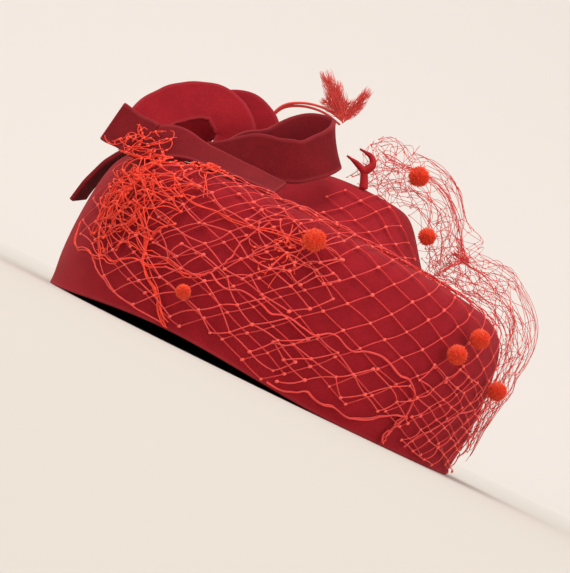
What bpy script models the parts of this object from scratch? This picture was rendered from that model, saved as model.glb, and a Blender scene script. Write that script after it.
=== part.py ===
"""A felt pillbox hat: a blocked felt crown with a raised tip, a bow of folded felt strips,
a coarse veil that lies on the front and puffs out over one side, chenille dots tied to the
veil, and two feather tips. The origin is the centre of the head opening, on the plane that
the hem rests on. +Z is up and the wearer faces -Y. Sizes are in metres.
"""

import math

import bmesh
import bpy
from mathutils import Vector

# Crown
CROWN_WIDTH = 0.178
CROWN_LENGTH = 0.190
SHOULDER_HEIGHT = 0.064
FELT = 0.002
HEM_LIFT = 0.004
HEM_LIFT_TURN = -20.0
HEM_LIFT_SPREAD = 48.0
CROWN_STEPS = 56

# Raised tip of the crown, above its shoulder
LOBE_HEIGHT = 0.0215
LOBE_X = 0.003
LOBE_RIGHT = 0.048
LOBE_LEFT = 0.065
LOBE_FRONT = 0.050
LOBE_BACK = 0.062

# Bow
STRIP_WIDTH = 0.0165
BOW_HEIGHT = 0.0340
STRIP_STEPS = 26
SEATING_PASSES = 3
SEAT_STEPS = 6
AHEAD = 0.01

# Veil
STRAND = 0.0012
VEIL_GAP = 0.0020
VEIL_PITCH = 0.0128
RISING_ANGLE = 42.0
FALLING_ANGLE = -19.0
VEIL_KNOT_UP = 0.030
PUFF_PITCH = 0.0145
PUFF_KNOT_ALONG = 0.004
PUFF_KNOT_AROUND = 0.030
PUFF_HEIGHT = 0.026
PUFF_HALF_WIDTH = 0.024
PUFF_Y = 0.006
PUFF_GAP = 0.0006
# Knots that a net is tried over, to each side of its first
NET_REACH = 40

# Dots and feathers
DOT_DIAMETER = 0.0085
FEATHER_THICKNESS = 0.0012
STEM_DIAMETER = 0.0016
FAN_HEIGHT = 0.019
SPRIG_HEIGHT = 0.0135
SPRIG_DIAMETER = 0.0026
SPRIG_ROOT_RISE = 0.125
STEM_STEPS = 18
ARM_STEPS = 10
SEAT_GAP = 0.0003
STRIP_SAG = 0.0003

# Steps between the points that a surface's normal is taken from: a share and a length
SHARE_STEP = 0.004
NORMAL_STEP = 0.002
# Halvings that find a reach in the section table, and the distance within which points are one
HALVINGS = 30
WELD = 1e-6

# Crown sections from the hem to the apex: reach is a share of the half width and half
# length, rise a share of the shoulder height. The first two rows make the hem upright.
SECTIONS = (
    {"name": "hem", "reach": 0.986, "rise": 0.000},
    {"name": "hem_top", "reach": 0.986, "rise": 0.065},
    {"name": "low_wall", "reach": 0.998, "rise": 0.220},
    {"name": "mid_wall", "reach": 1.000, "rise": 0.430},
    {"name": "high_wall", "reach": 0.988, "rise": 0.660},
    {"name": "turn_low", "reach": 0.962, "rise": 0.830},
    {"name": "turn_mid", "reach": 0.912, "rise": 0.935},
    {"name": "turn_high", "reach": 0.828, "rise": 0.982},
    {"name": "tip_edge", "reach": 0.715, "rise": 1.000},
    {"name": "tip_outer", "reach": 0.600, "rise": 1.009},
    {"name": "tip_mid", "reach": 0.480, "rise": 1.016},
    {"name": "tip_inner", "reach": 0.350, "rise": 1.020},
    {"name": "tip_core", "reach": 0.190, "rise": 1.023},
    {"name": "apex", "reach": 0.000, "rise": 1.024},
)
WIDEST = 3
TIP_EDGE = 8
TIP_RINGS = 2

# Edges of the flat part of the veil: turn is the angle from the front towards the wearer's
# left, low and high are shares of the section's length from hem to apex.
VEIL_EDGES = (
    {"turn": -64.0, "low": 0.170, "high": 0.330},
    {"turn": -45.0, "low": 0.085, "high": 0.395},
    {"turn": -30.0, "low": 0.040, "high": 0.455},
    {"turn": -18.0, "low": 0.012, "high": 0.480},
    {"turn": -8.0, "low": 0.010, "high": 0.610},
    {"turn": 0.0, "low": 0.010, "high": 0.800},
    {"turn": 25.0, "low": 0.010, "high": 0.810},
    {"turn": 45.0, "low": 0.010, "high": 0.750},
    {"turn": 60.0, "low": 0.010, "high": 0.640},
    {"turn": 70.0, "low": 0.010, "high": 0.520},
    {"turn": 76.0, "low": 0.010, "high": 0.400},
)

# Height of the puffed veil over the crown, as a share of its height, along the line from
# the crown's tip over the shoulder and down the side.
PUFF_CREST = (
    {"along": 0.00, "height": 1.00},
    {"along": 0.20, "height": 1.00},
    {"along": 0.38, "height": 0.80},
    {"along": 0.55, "height": 0.78},
    {"along": 0.70, "height": 0.34},
    {"along": 0.85, "height": 0.16},
    {"along": 1.00, "height": 0.14},
)
PUFF_END = 0.93

# Strips of the bow. x and y are shares of the crown's half width and half length, rise is
# the height of the strip's middle over the shoulder in bow heights. lean and tip turn the
# strip's width from upright, back and towards the wearer's left, in degrees, and share is
# its width there as a share of the strip's.
TAIL_FRONT = (
    {"x": -0.970, "y": -0.500, "rise": 0.050, "lean": 6, "tip": -6, "share": 1.00},
    {"x": -0.880, "y": -0.530, "rise": 0.020, "lean": 14, "tip": -5, "share": 1.00},
    {"x": -0.770, "y": -0.560, "rise": 0.000, "lean": 24, "tip": -4, "share": 0.98},
    {"x": -0.650, "y": -0.570, "rise": 0.000, "lean": 34, "tip": -2, "share": 0.86},
    {"x": -0.530, "y": -0.590, "rise": 0.010, "lean": 46, "tip": 0, "share": 0.74},
    {"x": -0.400, "y": -0.620, "rise": 0.020, "lean": 58, "tip": 0, "share": 0.84},
    {"x": -0.290, "y": -0.640, "rise": 0.030, "lean": 64, "tip": 0, "share": 0.96},
    {"x": -0.200, "y": -0.650, "rise": 0.040, "lean": 66, "tip": 0, "share": 1.00},
)
LOOP_RIGHT = (
    {"x": -0.570, "y": -0.500, "rise": 0.15, "lean": 10, "tip": 0, "share": 0.50},
    {"x": -0.475, "y": -0.510, "rise": 0.28, "lean": 8, "tip": -12, "share": 0.66},
    {"x": -0.362, "y": -0.510, "rise": 0.41, "lean": 4, "tip": -15, "share": 0.95},
    {"x": -0.260, "y": -0.510, "rise": 0.47, "lean": 2, "tip": -23, "share": 1.00},
    {"x": -0.165, "y": -0.490, "rise": 0.58, "lean": 0, "tip": -31, "share": 1.00},
    {"x": -0.085, "y": -0.400, "rise": 0.86, "lean": 0, "tip": -36, "share": 1.00},
    {"x": -0.125, "y": -0.290, "rise": 0.98, "lean": 4, "tip": -28, "share": 1.00},
    {"x": -0.225, "y": -0.260, "rise": 0.95, "lean": 6, "tip": -14, "share": 1.00},
    {"x": -0.320, "y": -0.310, "rise": 0.64, "lean": 6, "tip": -4, "share": 1.00},
    {"x": -0.430, "y": -0.390, "rise": 0.43, "lean": 4, "tip": 0, "share": 0.80},
    {"x": -0.545, "y": -0.450, "rise": 0.12, "lean": 2, "tip": 0, "share": 0.50},
)
LOOP_TOP = (
    {"x": -0.845, "y": -0.350, "rise": -0.05, "lean": 0, "tip": -86, "share": 0.90},
    {"x": -0.865, "y": -0.320, "rise": 0.20, "lean": 2, "tip": -80, "share": 1.00},
    {"x": -0.855, "y": -0.285, "rise": 0.41, "lean": 8, "tip": -64, "share": 1.00},
    {"x": -0.803, "y": -0.255, "rise": 0.60, "lean": 14, "tip": -40, "share": 1.00},
    {"x": -0.725, "y": -0.238, "rise": 0.75, "lean": 17, "tip": -16, "share": 1.00},
    {"x": -0.635, "y": -0.238, "rise": 0.81, "lean": 18, "tip": 5, "share": 1.00},
    {"x": -0.556, "y": -0.245, "rise": 0.72, "lean": 14, "tip": 28, "share": 1.00},
    {"x": -0.508, "y": -0.252, "rise": 0.58, "lean": 8, "tip": 48, "share": 1.00},
    {"x": -0.498, "y": -0.262, "rise": 0.40, "lean": 3, "tip": 64, "share": 0.92},
    {"x": -0.510, "y": -0.275, "rise": 0.10, "lean": 0, "tip": 78, "share": 0.80},
)
LOOP_BACK = (
    {"x": -0.690, "y": -0.085, "rise": 0.10, "lean": 0, "tip": -82, "share": 0.85},
    {"x": -0.705, "y": -0.090, "rise": 0.42, "lean": 2, "tip": -62, "share": 1.00},
    {"x": -0.650, "y": -0.105, "rise": 0.72, "lean": 8, "tip": -36, "share": 1.00},
    {"x": -0.567, "y": -0.120, "rise": 0.90, "lean": 10, "tip": -8, "share": 1.00},
    {"x": -0.488, "y": -0.120, "rise": 0.89, "lean": 10, "tip": 18, "share": 1.00},
    {"x": -0.427, "y": -0.130, "rise": 0.76, "lean": 8, "tip": 42, "share": 1.00},
    {"x": -0.410, "y": -0.145, "rise": 0.56, "lean": 4, "tip": 66, "share": 0.92},
    {"x": -0.435, "y": -0.160, "rise": 0.32, "lean": 0, "tip": 80, "share": 0.75},
)
# The side tail lies flat on the crown, so it runs in turns and section shares, and lift is
# its clearance from the felt in strip widths.
TAIL_SIDE = (
    {"turn": -92.0, "along": 0.63, "lift": 0.035},
    {"turn": -92.0, "along": 0.56, "lift": 0.050},
    {"turn": -93.0, "along": 0.47, "lift": 0.08},
    {"turn": -94.0, "along": 0.40, "lift": 0.12},
    {"turn": -95.0, "along": 0.34, "lift": 0.22},
    {"turn": -96.0, "along": 0.28, "lift": 0.34},
    {"turn": -97.0, "along": 0.23, "lift": 0.42},
)

# Outline of the feather fan, in fan heights from the end of its stem.
FAN_OUTLINE = (
    {"x": 0.09, "z": -0.06},
    {"x": -0.10, "z": 0.06},
    {"x": -0.33, "z": 0.28},
    {"x": -0.68, "z": 0.22},
    {"x": -0.50, "z": 0.40},
    {"x": -0.92, "z": 0.64},
    {"x": -0.72, "z": 0.68},
    {"x": -0.92, "z": 0.86},
    {"x": -0.52, "z": 0.76},
    {"x": -0.20, "z": 0.58},
    {"x": 0.04, "z": 0.54},
    {"x": 0.30, "z": 0.97},
    {"x": 0.24, "z": 0.56},
    {"x": 0.14, "z": 0.22},
)
# Stem of the fan, from the crown to the fan: x and y as shares of the half sizes, rise in
# bow heights over the shoulder.
FAN_STEM = (
    {"x": -0.420, "y": -0.020, "rise": 0.30},
    {"x": -0.424, "y": -0.030, "rise": 0.70},
    {"x": -0.422, "y": -0.045, "rise": 1.00},
    {"x": -0.390, "y": -0.065, "rise": 1.20},
    {"x": -0.310, "y": -0.085, "rise": 1.32},
    {"x": -0.215, "y": -0.100, "rise": 1.36},
    {"x": -0.124, "y": -0.105, "rise": 1.32},
)
# Arms of the sprig: x is in sprig heights from its root and z in sprig heights over it.
SPRIG_ARMS = (
    ((0.00, 0.00), (-0.08, 0.20), (-0.215, 0.44), (-0.50, 0.57), (-0.79, 0.64)),
    ((-0.215, 0.44), (-0.09, 0.62), (-0.07, 0.78), (-0.22, 0.94), (-0.54, 0.985)),
)
SPRIG_X = 0.101
SPRIG_Y = -0.211

# Dots: on names the piece of veil, x, y and z are shares of the crown's half width, half
# length and shoulder height near which a dot is tied to a strand, and size is a share of the
# diameter.
DOTS = (
    {"name": "dot_1", "on": "veil_puff", "x": 0.292, "y": -0.157, "z": 1.54, "size": 1.00},
    {"name": "dot_2", "on": "veil_puff", "x": 0.442, "y": -0.187, "z": 1.25, "size": 0.85},
    {"name": "dot_3", "on": "veil_front", "x": 0.722, "y": -0.704, "z": 0.64, "size": 0.90},
    {"name": "dot_4", "on": "veil_front", "x": 0.781, "y": -0.613, "z": 0.78, "size": 0.90},
    {"name": "dot_5", "on": "veil_front", "x": 0.952, "y": -0.351, "z": 0.58, "size": 0.90},
    {"name": "dot_6", "on": "veil_front", "x": 0.044, "y": -0.983, "z": 0.83, "size": 1.00},
    {"name": "dot_7", "on": "veil_front", "x": -0.317, "y": -0.968, "z": 0.29, "size": 0.65},
)


def smooth_step(share):
    """0 below 0, 1 above 1, and an even ease between them."""
    share = min(1.0, max(0.0, share))
    return share * share * (3.0 - 2.0 * share)


def between(rows, column, share):
    """A column of a table, read smoothly at a share of the way down its rows."""
    place = min(1.0, max(0.0, share)) * (len(rows) - 1)
    first = min(int(place), len(rows) - 2)
    t = place - first
    picks = [rows[min(max(first + k, 0), len(rows) - 1)][column] for k in (-1, 0, 1, 2)]
    a, b, c, d = picks
    bend = (2 * a - 5 * b + 4 * c - d) * t**2 + (3 * b - a - 3 * c + d) * t**3
    return b + 0.5 * ((c - a) * t + bend)


def along_keys(rows, key, column, value):
    """A column of a table at a value of its key column, straight between rows."""
    if value <= rows[0][key]:
        return rows[0][column]
    for low, high in zip(rows, rows[1:]):
        if value <= high[key]:
            share = (value - low[key]) / (high[key] - low[key])
            return low[column] + share * (high[column] - low[column])
    return rows[-1][column]


def lobe_share(x, y):
    """How much of the lobe's height the crown's tip has over a point of the plan."""
    across = (x - LOBE_X) / (LOBE_RIGHT if x > LOBE_X else LOBE_LEFT)
    along = y / (LOBE_BACK if y > 0 else LOBE_FRONT)
    away = math.hypot(across, along)
    steep = 0.5 if away == 0 else 0.30 + 0.20 * across / away
    return smooth_step((1.0 - away) / (1.0 - steep))


def hem_lift(turn):
    """The hem's rise over the resting plane, which only the front has."""
    away = (math.degrees(turn) - HEM_LIFT_TURN + 180.0) % 360.0 - 180.0
    return HEM_LIFT * smooth_step(1.0 - abs(away) / HEM_LIFT_SPREAD)


def crown_point(turn, share):
    """A point of the crown's outer face: turn is the angle from the front towards the wearer's
    left, and share runs from the hem at 0 to the apex at 1, evenly by rows of the section table."""
    reach = between(SECTIONS, "reach", share)
    rise = between(SECTIONS, "rise", share)
    x = 0.5 * CROWN_WIDTH * reach * math.sin(turn)
    y = -0.5 * CROWN_LENGTH * reach * math.cos(turn)
    z = SHOULDER_HEIGHT * rise + LOBE_HEIGHT * lobe_share(x, y)
    return Vector((x, y, z + hem_lift(turn) * max(0.0, 1.0 - rise)))


def section_lengths(steps=160):
    """Shares of the side section's length at evenly spaced shares of the section table, and the
    length itself."""
    points = [crown_point(math.pi / 2, k / steps) for k in range(steps + 1)]
    lengths = [0.0]
    for a, b in zip(points, points[1:]):
        lengths.append(lengths[-1] + (b - a).length)
    return [length / lengths[-1] for length in lengths], lengths[-1]


LENGTH_SHARES, SECTION_LENGTH = section_lengths()
WIDEST_SHARE = 1.0 - LENGTH_SHARES[round(WIDEST / (len(SECTIONS) - 1) * (len(LENGTH_SHARES) - 1))]


def at_length(share):
    """The share of the section table that lies at a share of the side section's length."""
    steps = len(LENGTH_SHARES) - 1
    for k in range(steps):
        if share <= LENGTH_SHARES[k + 1]:
            span = LENGTH_SHARES[k + 1] - LENGTH_SHARES[k]
            return (k + (share - LENGTH_SHARES[k]) / span) / steps
    return 1.0


def off_crown(turn, length_share, clearance):
    """A point at a clearance out from the crown's outer face, and the face's normal there."""
    share = at_length(length_share)
    across = crown_point(turn + SHARE_STEP, share) - crown_point(turn - SHARE_STEP, share)
    above, below = min(share + SHARE_STEP, 1.0), max(share - SHARE_STEP, 0.0)
    up = crown_point(turn, above) - crown_point(turn, below)
    normal = across.cross(up).normalized()
    return crown_point(turn, share) + normal * clearance, normal


def crown_height(x, y):
    """The height of the crown's outer face over a point of the plan. Beyond the widest line it
    stays at that line's height."""
    reach = min(1.0, math.hypot(x / (0.5 * CROWN_WIDTH), y / (0.5 * CROWN_LENGTH)))
    low, high = WIDEST / (len(SECTIONS) - 1), 1.0
    for _ in range(HALVINGS):
        middle = 0.5 * (low + high)
        if between(SECTIONS, "reach", middle) > reach:
            low = middle
        else:
            high = middle
    rise = between(SECTIONS, "rise", low)
    return SHOULDER_HEIGHT * rise + LOBE_HEIGHT * lobe_share(x, y)


def bow_point(row):
    """The point that a row of x, y and rise names, over the crown's shoulder."""
    x = 0.5 * CROWN_WIDTH * row["x"]
    y = 0.5 * CROWN_LENGTH * row["y"]
    return Vector((x, y, SHOULDER_HEIGHT + BOW_HEIGHT * row["rise"]))


def add_object(name, mesh, material, collection):
    """An object for a mesh, with its material, in a collection."""
    made = bpy.data.objects.new(name, mesh)
    made.data.materials.append(material)
    collection.objects.link(made)
    return made


def plain_material(name, colour, roughness):
    """A Principled material of one colour."""
    made = bpy.data.materials.new(name)
    made.use_nodes = True
    shader = made.node_tree.nodes["Principled BSDF"]
    shader.inputs["Base Color"].default_value = (*colour, 1.0)
    shader.inputs["Roughness"].default_value = roughness
    shader.inputs["Metallic"].default_value = 0.0
    return made


def mesh_of(name, points, faces):
    """A mesh with its normals made to face outwards."""
    mesh = bpy.data.meshes.new(name)
    mesh.from_pydata([tuple(p) for p in points], [], faces)
    work = bmesh.new()
    work.from_mesh(mesh)
    bmesh.ops.recalc_face_normals(work, faces=work.faces)
    work.to_mesh(mesh)
    work.free()
    return mesh


def baked(made):
    """An object's evaluated mesh, welded, in place of its modifiers or curve."""
    graph = bpy.context.evaluated_depsgraph_get()
    mesh = bpy.data.meshes.new_from_object(made.evaluated_get(graph))
    work = bmesh.new()
    work.from_mesh(mesh)
    bmesh.ops.remove_doubles(work, verts=work.verts, dist=WELD)
    bmesh.ops.recalc_face_normals(work, faces=work.faces)
    work.to_mesh(mesh)
    work.free()
    return mesh


def make_crown(felt, collection):
    """The blocked crown: rings of the section table joined to an apex, with more rings on the
    tip, given the felt's wall."""
    apex = len(SECTIONS) - 1
    places = list(range(TIP_EDGE)) + [TIP_EDGE + k / TIP_RINGS for k in range((apex - TIP_EDGE) * TIP_RINGS)]
    rings = len(places)
    points = []
    for place in places:
        for n in range(CROWN_STEPS):
            points.append(crown_point(math.tau * (n + 0.5) / CROWN_STEPS, place / apex))
    points.append(crown_point(0.0, 1.0))
    faces = []
    for k in range(rings - 1):
        for n in range(CROWN_STEPS):
            m = (n + 1) % CROWN_STEPS
            here, above = k * CROWN_STEPS, (k + 1) * CROWN_STEPS
            faces.append((here + n, here + m, above + m, above + n))
    last = (rings - 1) * CROWN_STEPS
    for n in range(CROWN_STEPS):
        faces.append((last + n, last + (n + 1) % CROWN_STEPS, len(points) - 1))
    mesh = bpy.data.meshes.new("crown")
    mesh.from_pydata([tuple(p) for p in points], [], faces)
    crown = add_object("crown", mesh, felt, collection)
    wall = crown.modifiers.new("felt wall", "SOLIDIFY")
    wall.thickness = FELT
    wall.offset = -1.0
    wall.use_even_offset = True
    crown.data.shade_smooth()
    crown.data.set_sharp_from_angle(angle=math.radians(50))


def strip_frame(row):
    """The direction of a strip's width, from the row's lean and tip."""
    lean, tip = math.radians(row["lean"]), math.radians(row["tip"])
    return Vector((math.sin(tip), math.sin(lean) * math.cos(tip), math.cos(lean) * math.cos(tip)))


def strip_corners(stations, k):
    """The four corners of a strip's section at a station of a middle point, a width direction
    and a width."""
    middle, width_way, width = stations[k]
    forward = (stations[min(k + 1, len(stations) - 1)][0] - stations[max(k - 1, 0)][0]).normalized()
    across = (width_way - forward * width_way.dot(forward)).normalized() * (width / 2)
    through = forward.cross(across).normalized() * (FELT / 2)
    return [middle + across * side + through * face for side, face in ((-1, -1), (1, -1), (1, 1), (-1, 1))]


def strip_mesh(name, stations):
    """A felt strip through stations of a middle point, a width direction and a width."""
    points = [corner for k in range(len(stations)) for corner in strip_corners(stations, k)]
    faces = []
    for k in range(len(stations) - 1):
        for n in range(4):
            m = (n + 1) % 4
            faces.append((4 * k + n, 4 * k + m, 4 * k + 4 + m, 4 * k + 4 + n))
    last = 4 * (len(stations) - 1)
    faces += [(3, 2, 1, 0), (last, last + 1, last + 2, last + 3)]
    return mesh_of(name, points, faces)


def seated(stations, k):
    """A station of a strip, raised by what its section reaches into the crown."""
    corners = strip_corners(stations, k)
    short = 0.0
    for low, high in ((corners[0], corners[1]), (corners[3], corners[2])):
        for step in range(SEAT_STEPS + 1):
            spot = low.lerp(high, step / SEAT_STEPS)
            short = max(short, crown_height(spot.x, spot.y) + SEAT_GAP + STRIP_SAG - spot.z)
    middle, width_way, width = stations[k]
    return middle + Vector((0.0, 0.0, short)), width_way, width


def make_strip(name, rows, felt, collection):
    """A strip of the bow from its table, sampled smoothly between the rows."""
    stations = []
    for k in range(STRIP_STEPS + 1):
        row = {column: between(rows, column, k / STRIP_STEPS) for column in rows[0]}
        stations.append((bow_point(row), strip_frame(row), STRIP_WIDTH * row["share"]))
    for _ in range(SEATING_PASSES):
        stations = [seated(stations, k) for k in range(len(stations))]
    add_object(name, strip_mesh(name, stations), felt, collection)


def make_side_tail(felt, collection):
    """The tail that lies on the crown, runs over its shoulder and hangs down the side."""
    stations = []
    for k in range(STRIP_STEPS + 1):
        row = {column: between(TAIL_SIDE, column, k / STRIP_STEPS) for column in TAIL_SIDE[0]}
        turn = math.radians(row["turn"])
        clearance = FELT / 2 + STRIP_WIDTH * row["lift"]
        middle, normal = off_crown(turn, row["along"], clearance)
        ahead, _ = off_crown(turn, row["along"] + AHEAD, clearance)
        stations.append((middle, normal.cross(ahead - middle), STRIP_WIDTH))
    add_object("bow_tail_side", strip_mesh("bow_tail_side", stations), felt, collection)


def front_surface(across, up):
    """A point of the flat part of the veil: across and up are lengths along and over the crown."""
    return off_crown(across / (0.5 * CROWN_WIDTH), up / SECTION_LENGTH, VEIL_GAP)[0]


def on_front(across, up):
    """True where the flat part of the veil lies."""
    turn = math.degrees(across / (0.5 * CROWN_WIDTH))
    if not VEIL_EDGES[0]["turn"] <= turn <= VEIL_EDGES[-1]["turn"]:
        return False
    low = along_keys(VEIL_EDGES, "turn", "low", turn)
    high = along_keys(VEIL_EDGES, "turn", "high", turn)
    return low <= up / SECTION_LENGTH <= high


def puff_surface(along, around):
    """A point of the puffed part of the veil: along runs from the crown's tip down the side,
    and around from the puff's front foot over its crest to its back foot."""
    share = along / SECTION_LENGTH
    swing = math.pi * (around / puff_girth())
    y = PUFF_Y - PUFF_HALF_WIDTH * math.cos(swing)
    turn = math.pi / 2 + math.asin(max(-1.0, min(1.0, y / (0.5 * CROWN_LENGTH))))
    level = along_keys(PUFF_CREST, "along", "height", share)
    foot, normal = off_crown(math.pi / 2, 1.0 - share, PUFF_GAP)
    point = Vector((foot.x * math.cos(turn - math.pi / 2), y, foot.z))
    point += normal * (STRAND / 2 + PUFF_HEIGHT * level * math.sin(swing))
    floor = crown_height(point.x, y) + STRAND / 2 + PUFF_GAP
    if share < WIDEST_SHARE:
        point.z = max(point.z, floor)
    return point


def puff_girth():
    """The length of the puff's arch from foot to foot, taken as half an ellipse's."""
    return math.pi * math.sqrt((PUFF_HALF_WIDTH**2 + PUFF_HEIGHT**2) / 2)


def on_puff(along, around):
    """True where the puffed part of the veil lies."""
    return 0.0 <= along <= PUFF_END * SECTION_LENGTH and 0.0 <= around <= puff_girth()


def net_cells(pitch, inside, start):
    """The cells of a slanting net whose four knots and middle are inside a region, as knot numbers."""
    rising = Vector((math.cos(math.radians(RISING_ANGLE)), math.sin(math.radians(RISING_ANGLE)))) * pitch
    falling = Vector((math.cos(math.radians(FALLING_ANGLE)), math.sin(math.radians(FALLING_ANGLE)))) * pitch
    span = range(-NET_REACH, NET_REACH + 1)

    def flat(i, j):
        return Vector(start) + rising * i + falling * j

    def fits(i, j):
        return all(inside(*flat(i + di, j + dj)) for di in (0, 1) for dj in (0, 1))

    cells = {(i, j) for i in span for j in span if fits(i, j)}
    return joined_cells(cells), flat


def joined_cells(cells):
    """The cells left when those that hang on by one knot alone are dropped."""
    while True:
        loose = set()
        for i, j in cells:
            sides = [(i + 1, j), (i - 1, j), (i, j + 1), (i, j - 1)]
            if not any(side in cells for side in sides):
                loose.add((i, j))
            for di, dj in ((1, 1), (1, -1), (-1, 1), (-1, -1)):
                corner = (i + di, j + dj)
                if corner in cells and (i + di, j) not in cells and (i, j + dj) not in cells:
                    loose.add(min(corner, (i, j)))
        if not loose:
            return cells
        cells = cells - loose


def normal_of(surface, u, v):
    """The outward normal of a surface of two lengths."""
    along = surface(u + NORMAL_STEP, v) - surface(u - NORMAL_STEP, v)
    around = surface(u, v + NORMAL_STEP) - surface(u, v - NORMAL_STEP)
    return along.cross(around).normalized()


def drawn_out(flat, knots, reach):
    """The flat places of knots, drawn out in their second length so that they span a reach."""
    ups = [flat(*knot).y for knot in knots]
    low, high = min(ups), max(ups)

    def stretched(i, j):
        place = flat(i, j)
        return Vector((place.x, (place.y - low) / (high - low) * reach))

    return stretched


def make_net(name, pitch, inside, start, surface, reach):
    """A piece of veil: a net of cells laid on a surface, whose strands come from a wireframe.
    With a reach, its outermost knots are drawn out to both ends of it. Returns the places where
    something can be tied to its strands."""
    cells, flat = net_cells(pitch, inside, start)
    knots = sorted({(i + di, j + dj) for i, j in cells for di in (0, 1) for dj in (0, 1)})
    if reach:
        flat = drawn_out(flat, knots, reach)
    number = {knot: n for n, knot in enumerate(knots)}
    points = [surface(*flat(*knot)) for knot in knots]
    faces = []
    for i, j in sorted(cells):
        around = ((i, j), (i + 1, j), (i + 1, j + 1), (i, j + 1))
        faces.append(tuple(number[knot] for knot in around))
    mesh = bpy.data.meshes.new(name)
    mesh.from_pydata([tuple(p) for p in points], [], faces)
    net = bpy.data.objects.new(name, mesh)
    strands = net.modifiers.new("strands", "WIREFRAME")
    strands.thickness = STRAND
    strands.use_boundary = True
    strands.use_even_offset = False
    normals = [normal_of(surface, *flat(*knot)) for knot in knots]
    return tie_places(points, normals, faces)


def tie_places(points, normals, faces):
    """Places and normals along a net's strands, at each quarter from knot to knot."""
    places = []
    for face in faces:
        for a, b in zip(face, face[1:] + face[:1]):
            for quarter in range(4):
                share = quarter / 4
                normal = normals[a].lerp(normals[b], share).normalized()
                places.append((points[a].lerp(points[b], share), normal))
    return places


def make_dot(row, places, chenille, collection):
    """A chenille dot beside the strand that it is tied to."""
    near = Vector((0.5 * CROWN_WIDTH * row["x"], 0.5 * CROWN_LENGTH * row["y"], SHOULDER_HEIGHT * row["z"]))
    point, normal = min(places, key=lambda place: (place[0] - near).length)
    radius = DOT_DIAMETER * row["size"] / 2
    bpy.ops.mesh.primitive_ico_sphere_add(subdivisions=2, radius=radius)
    dot = bpy.context.object
    dot.name = row["name"]
    dot.location = point + normal * (radius + STRAND / 2 + SEAT_GAP)
    dot.data.materials.append(chenille)
    for owner in list(dot.users_collection):
        owner.objects.unlink(dot)
    collection.objects.link(dot)


def tube(name, points, diameter):
    """A curve with round section and filled caps through points."""
    curve = bpy.data.curves.new(name, "CURVE")
    curve.dimensions = "3D"
    curve.bevel_depth = diameter / 2
    curve.bevel_resolution = 1
    curve.use_fill_caps = True
    spline = curve.splines.new("POLY")
    spline.points.add(len(points) - 1)
    for spot, point in zip(spline.points, points):
        spot.co = (*point, 1.0)
    return bpy.data.objects.new(name, curve)


def solid_from(made, name, material, collection, cutters):
    """A mesh object in place of a curve."""
    cutters.objects.link(made)
    bpy.context.view_layer.update()
    mesh = baked(made)
    bpy.data.objects.remove(made)
    return add_object(name, mesh, material, collection)


def unite(base, other, cutters):
    """Joins another solid to a base with a Boolean union."""
    for owner in list(other.users_collection):
        owner.objects.unlink(other)
    cutters.objects.link(other)
    other.hide_render = True
    other.display_type = "WIRE"
    join = base.modifiers.new("join", "BOOLEAN")
    join.operation = "UNION"
    join.object = other


def make_fan(feather, collection, cutters):
    """The feather fan: a thin vane cut to its locks, on a curved stem that starts on the crown."""
    stem = []
    for k in range(STEM_STEPS + 1):
        stem.append(bow_point({column: between(FAN_STEM, column, k / STEM_STEPS) for column in FAN_STEM[0]}))
    stem[0].z = crown_height(stem[0].x, stem[0].y) + STEM_DIAMETER / 2 + SEAT_GAP
    base = solid_from(tube("fan_stem", stem, STEM_DIAMETER), "feather_fan", feather, collection, cutters)
    end = stem[-1]
    front, back = [], []
    for row in FAN_OUTLINE:
        spot = Vector((end.x + row["x"] * FAN_HEIGHT, end.y, end.z + row["z"] * FAN_HEIGHT))
        front.append(spot + Vector((0, -FEATHER_THICKNESS / 2, 0)))
        back.append(spot + Vector((0, FEATHER_THICKNESS / 2, 0)))
    count = len(front)
    faces = [tuple(range(count)), tuple(reversed(range(count, 2 * count)))]
    faces += [(n, (n + 1) % count, count + (n + 1) % count, count + n) for n in range(count)]
    vane = add_object("fan_vane", mesh_of("fan_vane", front + back, faces), feather, collection)
    unite(base, vane, cutters)


def make_sprig(feather, collection, cutters):
    """The forked sprig: two curled arms that share a root seated on the crown's tip."""
    x, y = 0.5 * CROWN_WIDTH * SPRIG_X, 0.5 * CROWN_LENGTH * SPRIG_Y
    root = crown_height(x, y) + SPRIG_ROOT_RISE * SPRIG_DIAMETER + SEAT_GAP
    solids = []
    for n, arm in enumerate(SPRIG_ARMS):
        rows = [{"x": px, "z": pz} for px, pz in arm]
        line = []
        for k in range(ARM_STEPS + 1):
            px, pz = between(rows, "x", k / ARM_STEPS), between(rows, "z", k / ARM_STEPS)
            line.append(Vector((x + px * SPRIG_HEIGHT, y, root + pz * SPRIG_HEIGHT)))
        name = "feather_sprig" if n == 0 else "sprig_arm"
        solids.append(solid_from(tube(name, line, SPRIG_DIAMETER), name, feather, collection, cutters))
    unite(solids[0], solids[1], cutters)


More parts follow.
